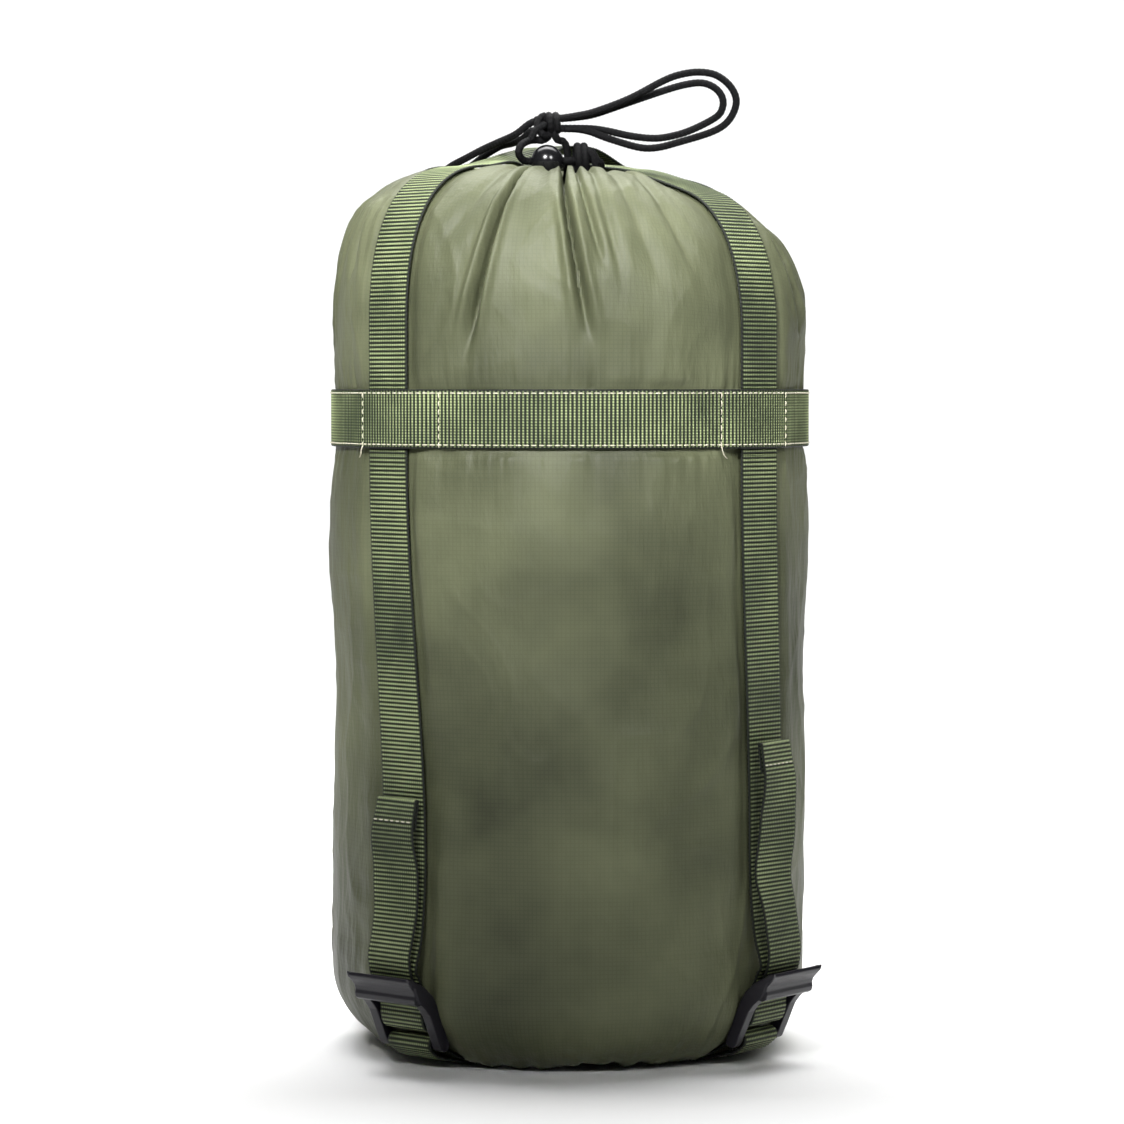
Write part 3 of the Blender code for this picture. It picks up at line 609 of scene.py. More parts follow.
def drawcord():
    knot = slip_knot()
    stopper = stopper_knot()
    free_cord("drawcord_strand_right", [
        (5.2, -16.8, 378.6), (8.0, -21.0, 379.8), (11.4, -26.0, 381.8), (13.4, -31.4, 385.0),
        (13.2, -35.2, 387.6), (11.2, -36.4, 389.0), (8.6, -36.4, 389.2), (1.0, -36.4, 388.9),
        (-4.0, -36.4, 388.6), (-9.9, -36.4, 388.6), (-17.0, -36.4, 388.6), (-20.2, -38.5, 389.0),
        (-22.2, -41.3, 391.6), (-21.2, -40.9, 395.0), (-18.2, -37.4, 397.2),
        (-15.0, -34.2, 397.9), (-11.0, -32.4, 397.8),
    ])
    free_cord("drawcord_strand_left", [
        (-3.4, -14.6, 378.0), (-2.5, -17.2, 378.6), (-2.2, -21.6, 380.2), (-1.5, -25.6, 382.8),
        (-1.1, -28.0, 386.6), (-1.1, -28.4, 391.6), (-1.6, -29.4, 395.4), (-3.2, -30.4, 397.6),
        (-5.4, -31.0, 397.8),
    ])
    free_cord("loop_outer", [
        (-3.3, -33.0, 407.4), (3.0, -33.0, 408.4), (10.9, -33.0, 410.2), (25.7, -33.0, 415.8),
        (40.5, -33.0, 423.5), (48.0, -33.0, 426.2), (55.9, -33.0, 427.2), (63.4, -33.0, 425.8),
        (69.6, -33.0, 420.8), (72.0, -33.0, 414.2), (68.9, -33.0, 406.6), (61.8, -33.0, 401.6),
        (46.5, -33.0, 396.8), (37.4, -33.0, 394.6), (29.5, -33.0, 394.8), (16.5, -33.0, 398.6),
        (9.0, -33.0, 401.4), (3.0, -33.0, 402.6), (-3.3, -33.0, 402.8),
    ])
    free_cord("loop_inner", [
        (-3.5, -29.2, 407.4), (3.0, -29.2, 408.0), (10.9, -29.2, 409.4), (25.7, -29.4, 414.4),
        (40.5, -29.6, 419.4), (49.7, -29.6, 422.0), (57.1, -29.6, 422.8), (62.6, -29.6, 420.8),
        (65.9, -29.6, 416.9), (66.2, -29.6, 412.3), (63.2, -29.6, 407.9), (51.8, -29.6, 402.1),
        (42.0, -29.6, 399.4), (34.8, -29.6, 398.9), (25.7, -29.4, 400.0), (16.6, -29.2, 402.0),
        (10.0, -29.2, 403.0), (3.0, -29.2, 403.2), (-3.5, -29.2, 403.2),
    ])
    free_cord("cord_end_upper", [
        (-14.6, -28.6, 406.6), (-18.0, -28.2, 405.0), (-24.0, -26.5, 400.6), (-31.4, -21.0, 397.6),
        (-38.3, -16.0, 394.8), (-45.3, -12.0, 391.4), (-50.8, -7.0, 388.9), (-53.8, 0.0, 387.4),
        (-54.4, 8.0, 387.0), (-53.0, 16.0, 387.0),
    ])
    free_cord("cord_end_lower", [
        (-14.8, -31.0, 402.4), (-17.4, -30.4, 401.5), (-20.6, -25.8, 398.9), (-25.0, -19.6, 397.4),
        (-30.2, -13.2, 396.5), (-36.0, -8.2, 393.6), (-42.0, -3.4, 389.4), (-46.4, 2.6, 386.4),
        (-49.2, 9.0, 385.7), (-49.6, 16.0, 386.0),
    ])
    ring = RING_BOX[1].x - CORD / 2
    ring_z = (RING_BOX[0].z + RING_BOX[1].z) / 2
    steps = 200
    around = [
        Vector((ring * math.cos(TAU * i / steps), ring * math.sin(TAU * i / steps), ring_z))
        for i in range(steps)
    ]
    channel_cord = cord_tube("drawcord_ring_cord", around, CORD)
    stands_for(channel_cord, "drawcord_ring", "crown")


# ---- The sack's skin ----------------------------------------------------------------------------
AROUND = 720


def shoulder_point(t, offset=0.0):
    """A point of the shoulder, 0 at the wall to 1 at the crest, moved outwards by offset."""
    a = t * math.pi / 2
    power = 2 / SHOULDER_FULLNESS
    wide, tall = BODY_RADIUS - CREST_RADIUS, CREST_Z - SHOULDER_Z
    across, up = math.cos(a) ** power, math.sin(a) ** power
    slope = SHOULDER_FULLNESS - 1
    normal = Vector((across ** slope / wide, up ** slope / tall))
    normal.normalize()
    return (
        CREST_RADIUS + wide * across + offset * normal.x,
        SHOULDER_Z + tall * up + offset * normal.y,
    )


def gather_point(t):
    """A point of the sunken gathers, 0 at the crest to 1 at the mouth."""
    r = CREST_RADIUS + (MOUTH_RADIUS - CREST_RADIUS) * t
    return r, CREST_Z - MOUTH_DIP * t ** MOUTH_DIP_POWER


def spaced(points, spacing):
    """The same line with points this far apart, end points kept."""
    return [tuple(p) for p in smooth_route([Vector(p) for p in points], spacing)]


def skin_profile():
    """(r, z) of the skin from the base's middle to the mouth."""
    corner = arc((BASE_RADIUS, BASE_Z + CORNER_RADIUS), CORNER_RADIUS, -90, 0, 34)
    base = [(0.002 + (BASE_RADIUS - 0.002) * i / 24, BASE_Z) for i in range(24)]
    wall_top = SHOULDER_Z - 0.001
    steps = round((wall_top - corner[-1][1]) / 0.0014)
    wall = [
        (BODY_RADIUS, corner[-1][1] + (wall_top - corner[-1][1]) * i / steps)
        for i in range(1, steps + 1)
    ]
    shoulder = spaced([shoulder_point(i / 40) for i in range(41)], 0.0011)
    gathers = spaced([gather_point(i / 12) for i in range(13)], 0.0012)[1:]
    return base + corner + wall + shoulder + gathers


PLEAT_SEED = 11
# (azimuth at the mouth, azimuth at the lower end, height of the lower end, depth, half width)
FRONT_PLEATS = [
    (-16.0, -25.5, 0.298, 0.0078, 0.0019),
    (-22.0, -33.0, 0.345, 0.0012, 0.0034),
    (-9.0, -12.0, 0.340, 0.0007, 0.0036),
    (-2.5, 4.8, 0.306, 0.0092, 0.0019),
    (2.0, 8.5, 0.336, 0.0034, 0.0017),
    (-5.0, 0.5, 0.352, 0.0020, 0.0016),
    (7.0, 13.0, 0.325, 0.0016, 0.0026),
    (14.0, 22.0, 0.330, 0.0013, 0.0032),
    (24.0, 31.0, 0.338, 0.0016, 0.0030),
    (60.0, 76.0, 0.312, 0.0052, 0.0030),
    (70.0, 88.0, 0.330, 0.0024, 0.0026),
]


def all_pleats():
    """The front's pleats and seeded ones round the rest of the mouth."""
    rng = random.Random(PLEAT_SEED)
    pleats = list(FRONT_PLEATS)
    azimuth = 96.0
    while azimuth < 318.0:
        drift = rng.uniform(-9, 9)
        long = rng.random() < 0.4
        depth = rng.uniform(0.0030, 0.0046) if long else rng.uniform(0.0012, 0.0024)
        end = rng.uniform(0.300, 0.335) if long else rng.uniform(0.335, 0.362)
        pleats.append((azimuth, azimuth + drift, end, depth, rng.uniform(0.0018, 0.0030)))
        azimuth += rng.uniform(6.0, 11.0)
    return pleats


PLEATS = all_pleats()
GATHERS = 26
FLOOR_GAP = 0.0006


def free_crown_shift(position):
    """The crown's shoulder sinks on the sack's right side, and its rear stands a little higher."""
    r = math.hypot(position[0], position[1])
    azimuth = math.degrees(math.atan2(position[0], -position[1]))
    off = abs((azimuth - 90 + 180) % 360 - 180)
    share = 0.5 + 0.5 * math.cos(math.radians(2 * min(off, 90)))
    rise = smooth_step((position[2] - 0.300) / 0.045)
    sink = 0.0150 * share * rise * smooth_step((r - 0.030) / 0.045)
    rear = 0.0060 * smooth_step((position[1] - 0.018) / 0.038) * rise
    return rear - sink


def crown_shift(position):
    """The same shift, but level across each strap, which holds the fabric flat beneath it."""
    lowest_shifted_z, ease, tiny = 0.29, 0.014, 0.001
    shift = free_crown_shift(position)
    if position[2] < lowest_shifted_z:
        return shift
    total, weight, held = shift * tiny, tiny, 0.0
    for azimuth in TOP_AZIMUTH.values():
        out, side = at_azimuth(azimuth)
        along = position[0] * out.x + position[1] * out.y
        across = abs(position[0] * side.x + position[1] * side.y)
        if along > 0:
            share = 1 - smooth_step((across - WEB_WIDTH / 2 - 0.001) / ease)
            middle = free_crown_shift((out.x * along, out.y * along, position[2]))
            total += share * middle
            weight += share
            held = max(held, share)
    return shift + (total / weight - shift) * held


def strap_azimuth_at(place, z):
    """The azimuth of a strap at this height: it turns a little between the band and the buckle."""
    straight_end_z = 0.090
    turn = smooth_step((SPLIT_Z - z) / (SPLIT_Z - straight_end_z))
    return TOP_AZIMUTH[place] + (BASE_AZIMUTH[place] - TOP_AZIMUTH[place]) * turn


def strap_distance(x, y, z):
    """Distance along the wall to the middle of the nearest strap."""
    nearest = 1.0
    for place in PLACES:
        out, side = at_azimuth(strap_azimuth_at(place, z))
        if x * out.x + y * out.y > 0:
            nearest = min(nearest, abs(x * side.x + y * side.y))
    return nearest


def pleat_depth(azimuth, r, z):
    """Depth of the pleats here, outwards positive."""
    total = 0.0
    for top, bottom, end_z, depth, half in PLEATS:
        if z < end_z:
            continue
        fall = (CREST_Z - z) / (CREST_Z - end_z) if r > CREST_RADIUS else 0.0
        centre = top + (bottom - top) * fall
        away = math.radians((azimuth - centre + 180) % 360 - 180) * r
        width = half * (0.55 + 0.6 * fall)
        if abs(away) > 6 * width:
            continue
        fade = smooth_step((1 - fall) / 0.4) if r > CREST_RADIUS else r / CREST_RADIUS
        groove = -math.exp(-((abs(away) / width) ** 1.5))
        lips = 0.34 * math.exp(-(((abs(away) - 2.4 * width) / (1.2 * width)) ** 2))
        total += depth * fade * (groove + lips)
    return total


def ridge(place, strength):
    """A soft crease: highest along the lines where the noise crosses zero."""
    return strength * max(0.0, 1 - 3.2 * abs(noise.noise(place))) ** 2


def belt_pucker(a, z):
    """The fabric rucked up by the belt's stitching, and pulled in there."""
    if BAND_LOW_Z < z < BAND_HIGH_Z:
        return -0.0010
    away = min(abs(z - BAND_LOW_Z), abs(z - BAND_HIGH_Z))
    if away > 0.09:
        return 0.0
    arc_place = a * BODY_RADIUS
    side = 3.1 if z > BAND_MID_Z else 8.7
    ruck = noise.noise(Vector((arc_place / 0.0050, side, z / 0.05)))
    ruck += 0.8 * noise.noise(Vector((arc_place / 0.0027, side, z / 0.03)))
    long_folds = noise.noise(Vector((arc_place / 0.016, side, z / 0.09)))
    pinch = -0.0011 * math.exp(-away / 0.007)
    swell = 0.0008 * math.exp(-(((away - 0.035) / 0.025) ** 2))
    rucked = 0.0012 * ruck * math.exp(-away / 0.009)
    return pinch + swell + rucked + 0.0016 * long_folds * math.exp(-away / 0.035)


def base_tuck(a, r, z, length_up):
    """Tucks along the base's seam, and the fabric bulging down between the straps."""
    from_seam = math.hypot(max(0, r - BASE_RADIUS), z - BASE_Z)
    arc_place = a * BODY_RADIUS
    tucks = noise.noise(Vector((arc_place / 0.0080, 20.0, length_up / 0.05)))
    tucks += 0.6 * noise.noise(Vector((arc_place / 0.0041, 24.0, length_up / 0.03)))
    reach = from_seam / 0.018 if r >= BASE_RADIUS else (BASE_RADIUS - r) / 0.006
    bulge = 0.0021 * math.exp(-(((r - 0.084) / 0.014) ** 2)) if z < 0.05 else 0.0
    return 0.0022 * tucks * math.exp(-reach) + bulge


# (size, height, offset) of each layer of noise in the skin
SKIN_NOISE = (
    (0.070, 0.0024, (0, 0, 0)), (0.036, 0.0015, (7, 3, 1)), (0.014, 0.0003, (2, 9, 4)),
)


def skin_displacement(azimuth, r, z, length_up):
    """How far the skin stands out from the smooth CAD shape, along its normal."""
    a = math.radians(azimuth)
    x, y = r * math.sin(a), -r * math.cos(a)
    place = Vector((x, y, z * 0.75))
    total = sum(noise.noise(place / size + Vector(at)) * height for size, height, at in SKIN_NOISE)
    warp = noise.noise(place / 0.05 + Vector((1, 8, 2)))
    total += ridge(Vector((x / 0.045 + warp, y / 0.045, z / 0.085)), 0.0007)
    total += ridge(Vector((x / 0.030 + 1.3 * warp, y / 0.030 + 9, z / 0.030)), 0.0004)
    total += belt_pucker(a, z)
    if r > CREST_RADIUS * 0.5 and z > 0.29:
        total += pleat_depth(azimuth, r, z)
    if z > 0.33:
        inward = smooth_step((0.086 - r) / 0.040)
        wobble = 0.5 * noise.noise(Vector((2.5 * math.sin(a), 2.5 * math.cos(a), 5)))
        fold = math.cos(GATHERS * a + 6 * wobble) - 0.8
        total += 0.0008 * inward * fold * smooth_step((r - MOUTH_RADIUS + 0.004) / 0.02)
        crest_share = smooth_step((z - 0.366) / 0.012)
        total = total * (1 - crest_share) + crest_share * min(total, 0.0004)
    if z < 0.07:
        total += base_tuck(a, r, z, length_up)
    from_belt = abs(z - BAND_MID_Z) - WEB_WIDTH / 2
    held = 1 - smooth_step((from_belt - 0.0005) / 0.004)
    total = total * (1 - held) + held * min(total, -0.0003)
    edge = strap_distance(x, y, z) - WEB_WIDTH / 2
    pressed = 1 - smooth_step(edge / 0.006)
    if 0 < edge < 0.03:
        total += 0.0009 * math.exp(-(((edge - 0.009) / 0.006) ** 2))
    return total * (1 - pressed) + pressed * min(total, -0.0002)


def skin():
    """The whole fabric wall as one closed shell: the outside, and a plain inside."""
    outer = skin_profile()
    normals = []
    lengths = [0.0]
    for i, (r, z) in enumerate(outer):
        r0, z0 = outer[max(i - 1, 0)]
        r1, z1 = outer[min(i + 1, len(outer) - 1)]
        size = math.hypot(r1 - r0, z1 - z0)
        normals.append(((z1 - z0) / size, -(r1 - r0) / size))
        if i:
            lengths.append(lengths[-1] + math.hypot(r - r0, z - z0))
    wall = 0.0022
    kept = list(range(len(outer) - 1, 0, -12)) + [0]
    points = []
    for i in [*range(len(outer)), *kept]:
        inside = len(points) >= len(outer) * AROUND
        (r, z), (nr, nz) = outer[i], normals[i]
        for k in range(AROUND):
            azimuth = 360 * k / AROUND
            d = skin_displacement(azimuth, r, z, lengths[i])
            if inside:
                d = min(0.0, d) - wall
            across = r + nr * d
            p = at_azimuth(azimuth)[0] * (max(0.0015, across) if inside else across)
            p.z = z + nz * d
            p.z += crown_shift(p)
            if not inside:
                p.z = max(FLOOR_GAP, p.z)
            points.append(p)
    ring_lengths = lengths + [lengths[i] for i in kept]
    faces = tube_faces(len(ring_lengths), AROUND)
    girth = TAU * BODY_RADIUS
    v_of_point = [girth * k / AROUND for k in range(AROUND)]
    uvs = tube_uvs(faces, AROUND, ring_lengths, v_of_point, girth)
    obj = mesh_object("sack_skin", points, faces, NYLON, uvs)
    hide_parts("lower_sack_wall", "upper_sack_wall", "base_panel")
    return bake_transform(obj)


def mouth_channel():
    """The folded hem round the mouth, ruffled by the drawcord inside it."""
    low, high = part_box("mouth_channel")
    middle = (RING_BOX[1].x - CORD / 2, (low.z + high.z) / 2)
    half_high = (high.z - low.z) / 2
    around, section = 312, 20
    points = []
    for i in range(around):
        a = TAU * i / around
        ruffle = math.cos(GATHERS * a + 1.3 * math.sin(3 * a))
        for k in range(section):
            b = TAU * k / section
            thick = (0.0030 + 0.0004 * ruffle) * math.cos(b)
            tall = (half_high + 0.0005 * ruffle) * math.sin(b) + 0.0006 * ruffle
            r = middle[0] + thick + 0.0003 * math.sin(2 * GATHERS * a)
            points.append(Vector((r * math.sin(a), -r * math.cos(a), middle[1] + tall)))
    faces = []
    for i in range(around):
        for k in range(section):
            j, n = (i + 1) % around, (k + 1) % section
            faces.append((i * section + k, i * section + n, j * section + n, j * section + k))
    span = 0.0003
    uvs = [
        (span * (index // section) * 1.2, span * (index % section) * 2.5)
        for face in faces for index in face
    ]
    obj = mesh_object("mouth_hem", points, faces, NYLON, uvs)
    stands_for(obj, "mouth_channel", "crown")


# ---- Webbing ------------------------------------------------------------------------------------
EDGE_ROUND = 0.0005
RIB_HEIGHT = 0.00013


def web_section():
    """(across, height share) points round a strip: top, edge, bottom, edge."""
    half = WEB_WIDTH / 2
    flat = half - EDGE_ROUND
    rows = 12
    top = [(-flat + 2 * flat * i / rows, 1.0) for i in range(rows + 1)]
    edge = [(half - EDGE_ROUND * 0.2, 0.55), (half, 0.0), (half - EDGE_ROUND * 0.2, -0.55)]
    bottom = [(x, -1.0) for x, _ in reversed(top)]
    return top + edge + bottom + [(-x, -h) for x, h in edge]


def webbing(name, path, sides):
    """A ribbed strip along a path of points, each with the direction across the strip."""
    joined = [Vector((*p, *s)) for p, s in zip(path, sides)]
    length = polyline_length(path)
    rings = max(8, round(length / (RIB_PITCH / 4)))
    placed = resample(joined, rings)
    centres = [Vector(v[:3]) for v in placed]
    across = [Vector(v[3:]).normalized() for v in placed]
    section = web_section()
    points, lengths = [], []
    walked = 0.0
    for i, (centre, side) in enumerate(zip(centres, across)):
        if i:
            walked += (centre - centres[i - 1]).length
        along = (centres[min(i + 1, rings)] - centres[max(i - 1, 0)]).normalized()
        normal = side.cross(along).normalized()
        rib = math.cos(TAU * walked / RIB_PITCH)
        thick = WEB / 2 - RIB_HEIGHT + RIB_HEIGHT * rib
        lengths.append(walked)
        for x, h in section:
            edge = 1 + 0.006 * rib * (abs(h) < 1)
            points.append(centre + side * (x * edge) + normal * (h * thick))
    faces = tube_faces(len(centres), len(section))
    v_of_point = [x for x, _ in section]
    uvs = tube_uvs(faces, len(section), lengths, v_of_point, 0.0)
    return mesh_object(name, points, faces, WEBBING, uvs)


def resample(points, count):
    """count + 1 evenly spaced points along a smooth line; only x, y, z measure the spacing."""
    places = np.array([list(p) for p in catmull_rom(points, 10)])
    steps = np.linalg.norm(np.diff(places[:, :3], axis=0), axis=1)
    walked = np.concatenate([[0], np.cumsum(steps)])
    wanted = np.linspace(0, walked[-1], count + 1)
    columns = [np.interp(wanted, walked, places[:, k]) for k in range(places.shape[1])]
    return [Vector(row) for row in np.stack(columns, axis=1)]


def webbing_in_plane(name, azimuth, points):
    """Webbing whose middle follows (radius, z) points in the upright plane at this azimuth."""
    out, side = at_azimuth(azimuth)
    path = [out * r + Vector((0, 0, z)) for r, z in points]
    return webbing(name, path, [side] * len(path))


def blending_webbing(node, path, sides):
    """Webbing shown instead of this CAD node, for a strap that bends between two bodies; it rides
    on neither.
    """
    obj = webbing(node + "_web", path, sides)
    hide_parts(node)
    return obj


def crown_half(middle_z, flat, ease):
    """(r, z) points of a top strap from the middle of the cross out and down to the split."""
    rest_z = CREST_Z + GAP + WEB / 2
    lift = middle_z - rest_z
    inner = [(0.004 * i, rest_z) for i in range(13)]
    outer = [shoulder_point(1 - i / 20, GAP + WEB / 2) for i in range(21)]
    wall = [(STRAP_RADIUS, 0.300), (STRAP_RADIUS, 0.280), (STRAP_RADIUS, SPLIT_Z)]
    return [(r, z + lift * (1 - smooth_step((r - flat) / ease))) for r, z in inner + outer] + wall


def top_cross_strap(strap, middle_z, front, rear, front_tilt=0.0):
    """A strap over the crown; front_tilt turns its front half's forward edge down, in degrees."""
    front_half = crown_half(middle_z, *front)
    rear_half = [(-r, z) for r, z in crown_half(middle_z, *rear)[1:]]
    node = f"top_cross_strap_{strap}"
    out, side = at_azimuth(TOP_CROSS[strap])
    up = Vector((0, 0, 1))
    path, sides = [], []
    for r, z in front_half[::-1] + rear_half:
        share = smooth_step((r - 0.014) / 0.010) * (1 - smooth_step((r - 0.030) / 0.018))
        tilt = math.radians(front_tilt * share)
        place = out * r + up * (z - WEB_WIDTH / 2 * math.sin(tilt))
        path.append(place + up * crown_shift(place))
        sides.append(side * math.cos(tilt) - up * math.sin(tilt))
    stands_for(webbing(node + "_web", path, sides), node, "crown")


CORNER_CENTRE = (BASE_RADIUS + GAP, BASE_Z + CORNER_RADIUS - GAP)
INNER_LEG_Z = BASE_Z - GAP - WEB / 2
OUTER_LEG_Z = WEB / 2
LOOP_RADIUS = 0.0020 + 0.0004 + WEB / 2
ANCHOR_ANGLE = 49.6


def around_corner(degrees_from_down, distance):
    """A point round the base corner, at this distance from the corner's centre."""
    a = math.radians(degrees_from_down)
    return CORNER_CENTRE[0] + distance * math.sin(a), CORNER_CENTRE[1] - distance * math.cos(a)


def base_loop():
    """(r, z) from the middle of the base out, round the anchor bar, and back under itself."""
    steps = 6
    inner_distance = CORNER_CENTRE[1] - INNER_LEG_Z
    outer_distance = CORNER_CENTRE[1] - OUTER_LEG_Z
    inner = [around_corner(ANCHOR_ANGLE * i / steps, inner_distance) for i in range(steps + 1)]
    start = ANCHOR_ANGLE + 90
    loop = arc(ANCHOR, LOOP_RADIUS, start, start - 180, 8)[1:]
    spread = inner_distance + 2 * LOOP_RADIUS - outer_distance
    closing_angle = 18.0
    outer = []
    for i in range(1, steps + 1):
        angle = ANCHOR_ANGLE * (1 - i / steps)
        open_share = smooth_step((angle - closing_angle) / (ANCHOR_ANGLE - closing_angle))
        outer.append(around_corner(angle, outer_distance + spread * open_share))
    return [*inner, *loop, *outer, (0.045, OUTER_LEG_Z)]


def base_cross_strap(strap, dips):
    half = [(0.026, INNER_LEG_Z), *base_loop()]
    middle_z = OUTER_LEG_Z if dips else INNER_LEG_Z
    middle = [(-0.0155, middle_z), (-0.008, middle_z), (0.008, middle_z), (0.0155, middle_z)]
    path = [(-r, z) for r, z in half[::-1]] + middle + half
    node = f"base_cross_strap_{strap}"
    web = webbing_in_plane(node + "_web", BASE_CROSS[strap], path)
    stands_for(web, node, "sack_base")


def buckle_point(u, n):
    """(r, z) of a point in the buckle's own plane."""
    s, c = math.sin(BUCKLE_LEAN), math.cos(BUCKLE_LEAN)
    return ANCHOR[0] + u * s + n * c, ANCHOR[1] + u * c - n * s


JOIN_U = 0.0310
SIDE_RUN_N = -0.0028
TAIL_RUN_N = 0.0008
GRIP_BAR_U = 0.0110
GRIP_BAR_N = -0.0001


def strap_wrap(place):
    """The webbing inside the buckle: under the lip, round the grip bar and out under the lip."""
    turn = 0.0016 + 0.0004 + WEB / 2
    under, over = GRIP_BAR_N - turn, GRIP_BAR_N + turn
    left, right = GRIP_BAR_U - 0.0009, GRIP_BAR_U + 0.0009
    around = [
        (left - turn * math.sin(math.radians(a)), GRIP_BAR_N - turn * math.cos(math.radians(a)))
        for a in range(0, 181, 20)
    ]
    path = [
        (JOIN_U, SIDE_RUN_N), (0.0275, SIDE_RUN_N), (0.0180, under), (right, under), *around,
        (right, over), (0.0150, over - 0.0006), (0.0180, TAIL_RUN_N + 0.0001),
        (0.0275, TAIL_RUN_N), (JOIN_U, TAIL_RUN_N),
    ]
    points = [buckle_point(u, n) for u, n in path]
    obj = webbing_in_plane(f"strap_wrap_{place}_web", BASE_AZIMUTH[place], points)
    stands_for(obj, f"strap_wrap_{place}", f"buckle_{place}")


def side_strap(place):
    """The run of strap from the band to the buckle, which shortens as the sack is squeezed; here
    it is one fixed shape on no body.
    """
    drop, steps = SPLIT_Z - GAP - 0.090, 10
    levels = [(STRAP_RADIUS, SPLIT_Z - GAP - drop * i / steps) for i in range(steps + 1)]
    levels += [
        (STRAP_RADIUS + 0.0006, 0.075), (STRAP_RADIUS + 0.0024, 0.058),
        buckle_point(JOIN_U + 0.0040, SIDE_RUN_N), buckle_point(JOIN_U + 0.0001, SIDE_RUN_N),
    ]
    path, sides = [], []
    for r, z in levels:
        out, side = at_azimuth(strap_azimuth_at(place, z))
        path.append(out * r + Vector((0, 0, z)))
        sides.append(side)
    obj = blending_webbing(f"side_strap_{place}", path, sides)
    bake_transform(obj)


HEM = 0.0120
TAIL_RADIUS = 0.1108
FOLD = WEB / 2 + 0.0001


def strap_tail(place):
    """The loose end above the buckle, a little wavy, its end folded inwards and stitched down."""
    node = f"strap_tail_{place}"
    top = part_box(node)[1].z - FOLD - WEB / 2
    straight = 0.0800
    points = [
        buckle_point(JOIN_U + 0.0001, TAIL_RUN_N), buckle_point(JOIN_U + 0.0040, TAIL_RUN_N),
        (0.1148, 0.0500), (0.1134, 0.0580), (0.1116, 0.0690), (TAIL_RADIUS, straight),
    ]
    steps = 8
    points += [(TAIL_RADIUS, straight + (top - straight) * i / steps) for i in range(1, steps + 1)]
    points += arc((TAIL_RADIUS - FOLD, top), FOLD, 0, 180, 6)[1:]
    points += [(TAIL_RADIUS - 2 * FOLD, top - HEM / 2), (TAIL_RADIUS - 2 * FOLD, top - HEM)]
    out, side = at_azimuth(BASE_AZIMUTH[place])
    phase = TAU * list(PLACES).index(place) / 3

    def waved(r, z):
        free = smooth_step((z - 0.046) / 0.025)
        across = 0.0010 * math.sin(z / 0.0095 + phase) + 0.0006 * math.sin(z / 0.0043 + 2 * phase)
        bow = 0.0009 * math.sin(z / 0.0115 + 1.7 * phase)
        return out * (r + free * bow) + side * (free * across) + Vector((0, 0, z))

    def rolled(z):
        roll = math.radians(5) * smooth_step((z - 0.055) / 0.03) * math.sin(z / 0.016 + phase)
        return side * math.cos(roll) + out * math.sin(roll)

    path = [waved(r, z) for r, z in points]
    sides = [rolled(z) for _, z in points]
    obj = blending_webbing(node, path, sides)
    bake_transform(obj)
    stitch_z = top - 0.0085
    along = rolled(stitch_z)
    face = waved(TAIL_RADIUS, stitch_z) + out * (WEB / 2)
    line = [face + along * (WEB_WIDTH * (i / 12 - 0.5) * 0.94) for i in range(13)]
    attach(stitches(f"tail_stitch_{place}", line, out), f"tail_{place}")


def belt_radius(azimuth):
    """Middle of the belt's thickness: it stands off over each strap."""
    tunnel_lift, tunnel_half, ease = 0.0025, 9.0, 7.0
    away = min(abs((azimuth - a + 180) % 360 - 180) for a in TOP_AZIMUTH.values())
    lift = tunnel_lift * (1 - smooth_step((away - tunnel_half) / ease))
    return BODY_RADIUS + GAP + lift + WEB / 2


def belt():
    """The belt: a closed ring of webbing; belt_stitching sews it."""
    section = web_section()
    girth = TAU * (BODY_RADIUS + WEB)
    ribs = round(girth / RIB_PITCH)
    rings = 4 * ribs
    points = []
    for i in range(rings):
        azimuth = 360 * i / rings
        out, _ = at_azimuth(azimuth)
        rib = math.cos(TAU * i / 4)
        thick = WEB / 2 - RIB_HEIGHT + RIB_HEIGHT * rib
        for x, h in section:
            r = belt_radius(azimuth) + h * thick
            points.append(out * r + Vector((0, 0, BAND_MID_Z + x)))
    count = len(section)
    faces, uvs = [], []
    for corners in ring_corners(rings, count):
        faces.append(tuple((a % rings) * count + b for a, b in corners))
        uvs += [(RIB_PITCH * a / 4, section[b][0]) for a, b in corners]
    obj = mesh_object("belt_band_web", points, faces, WEBBING, uvs)
    stands_for(obj, "belt_band", "crown")


def belt_point(azimuth, z):
    out, _ = at_azimuth(azimuth)
    return out * (belt_radius(azimuth) + WEB / 2) + Vector((0, 0, z)), out


STITCH, STITCH_GAP, THREAD_RADIUS = 0.0024, 0.0009, 0.00028
# Degrees from each top strap's middle to the stitch lines at its sides.
TACKS = {
    "front_left": (-7.6, 15.9),
    "front_right": (-13.2, 8.7),
    "rear_right": (-11.0, 10.5),
    "rear_left": (-12.0, 9.5),
}


def belt_stitching():
    """A row along each edge, and a line on each side of every tunnel."""
    for name, inset in (("low", 0.0016), ("high", -0.0016)):
        z = (BAND_LOW_Z if inset > 0 else BAND_HIGH_Z) + inset
        line = [belt_point(360 * i / 240, z)[0] for i in range(241)]
        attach(stitches(f"belt_stitch_{name}", line, None), "crown")
    for place, turns in TACKS.items():
        for side_name, turn in zip(("left", "right"), turns):
            azimuth = TOP_AZIMUTH[place] + turn
            low, out = belt_point(azimuth, BAND_LOW_Z + 0.0004)
            high = low + Vector((0, 0, BAND_HIGH_Z - BAND_LOW_Z - 0.0008))
            line = [low.lerp(high, i / 10) for i in range(11)]
            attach(stitches(f"belt_tack_{place}_{side_name}", line, out), "crown")


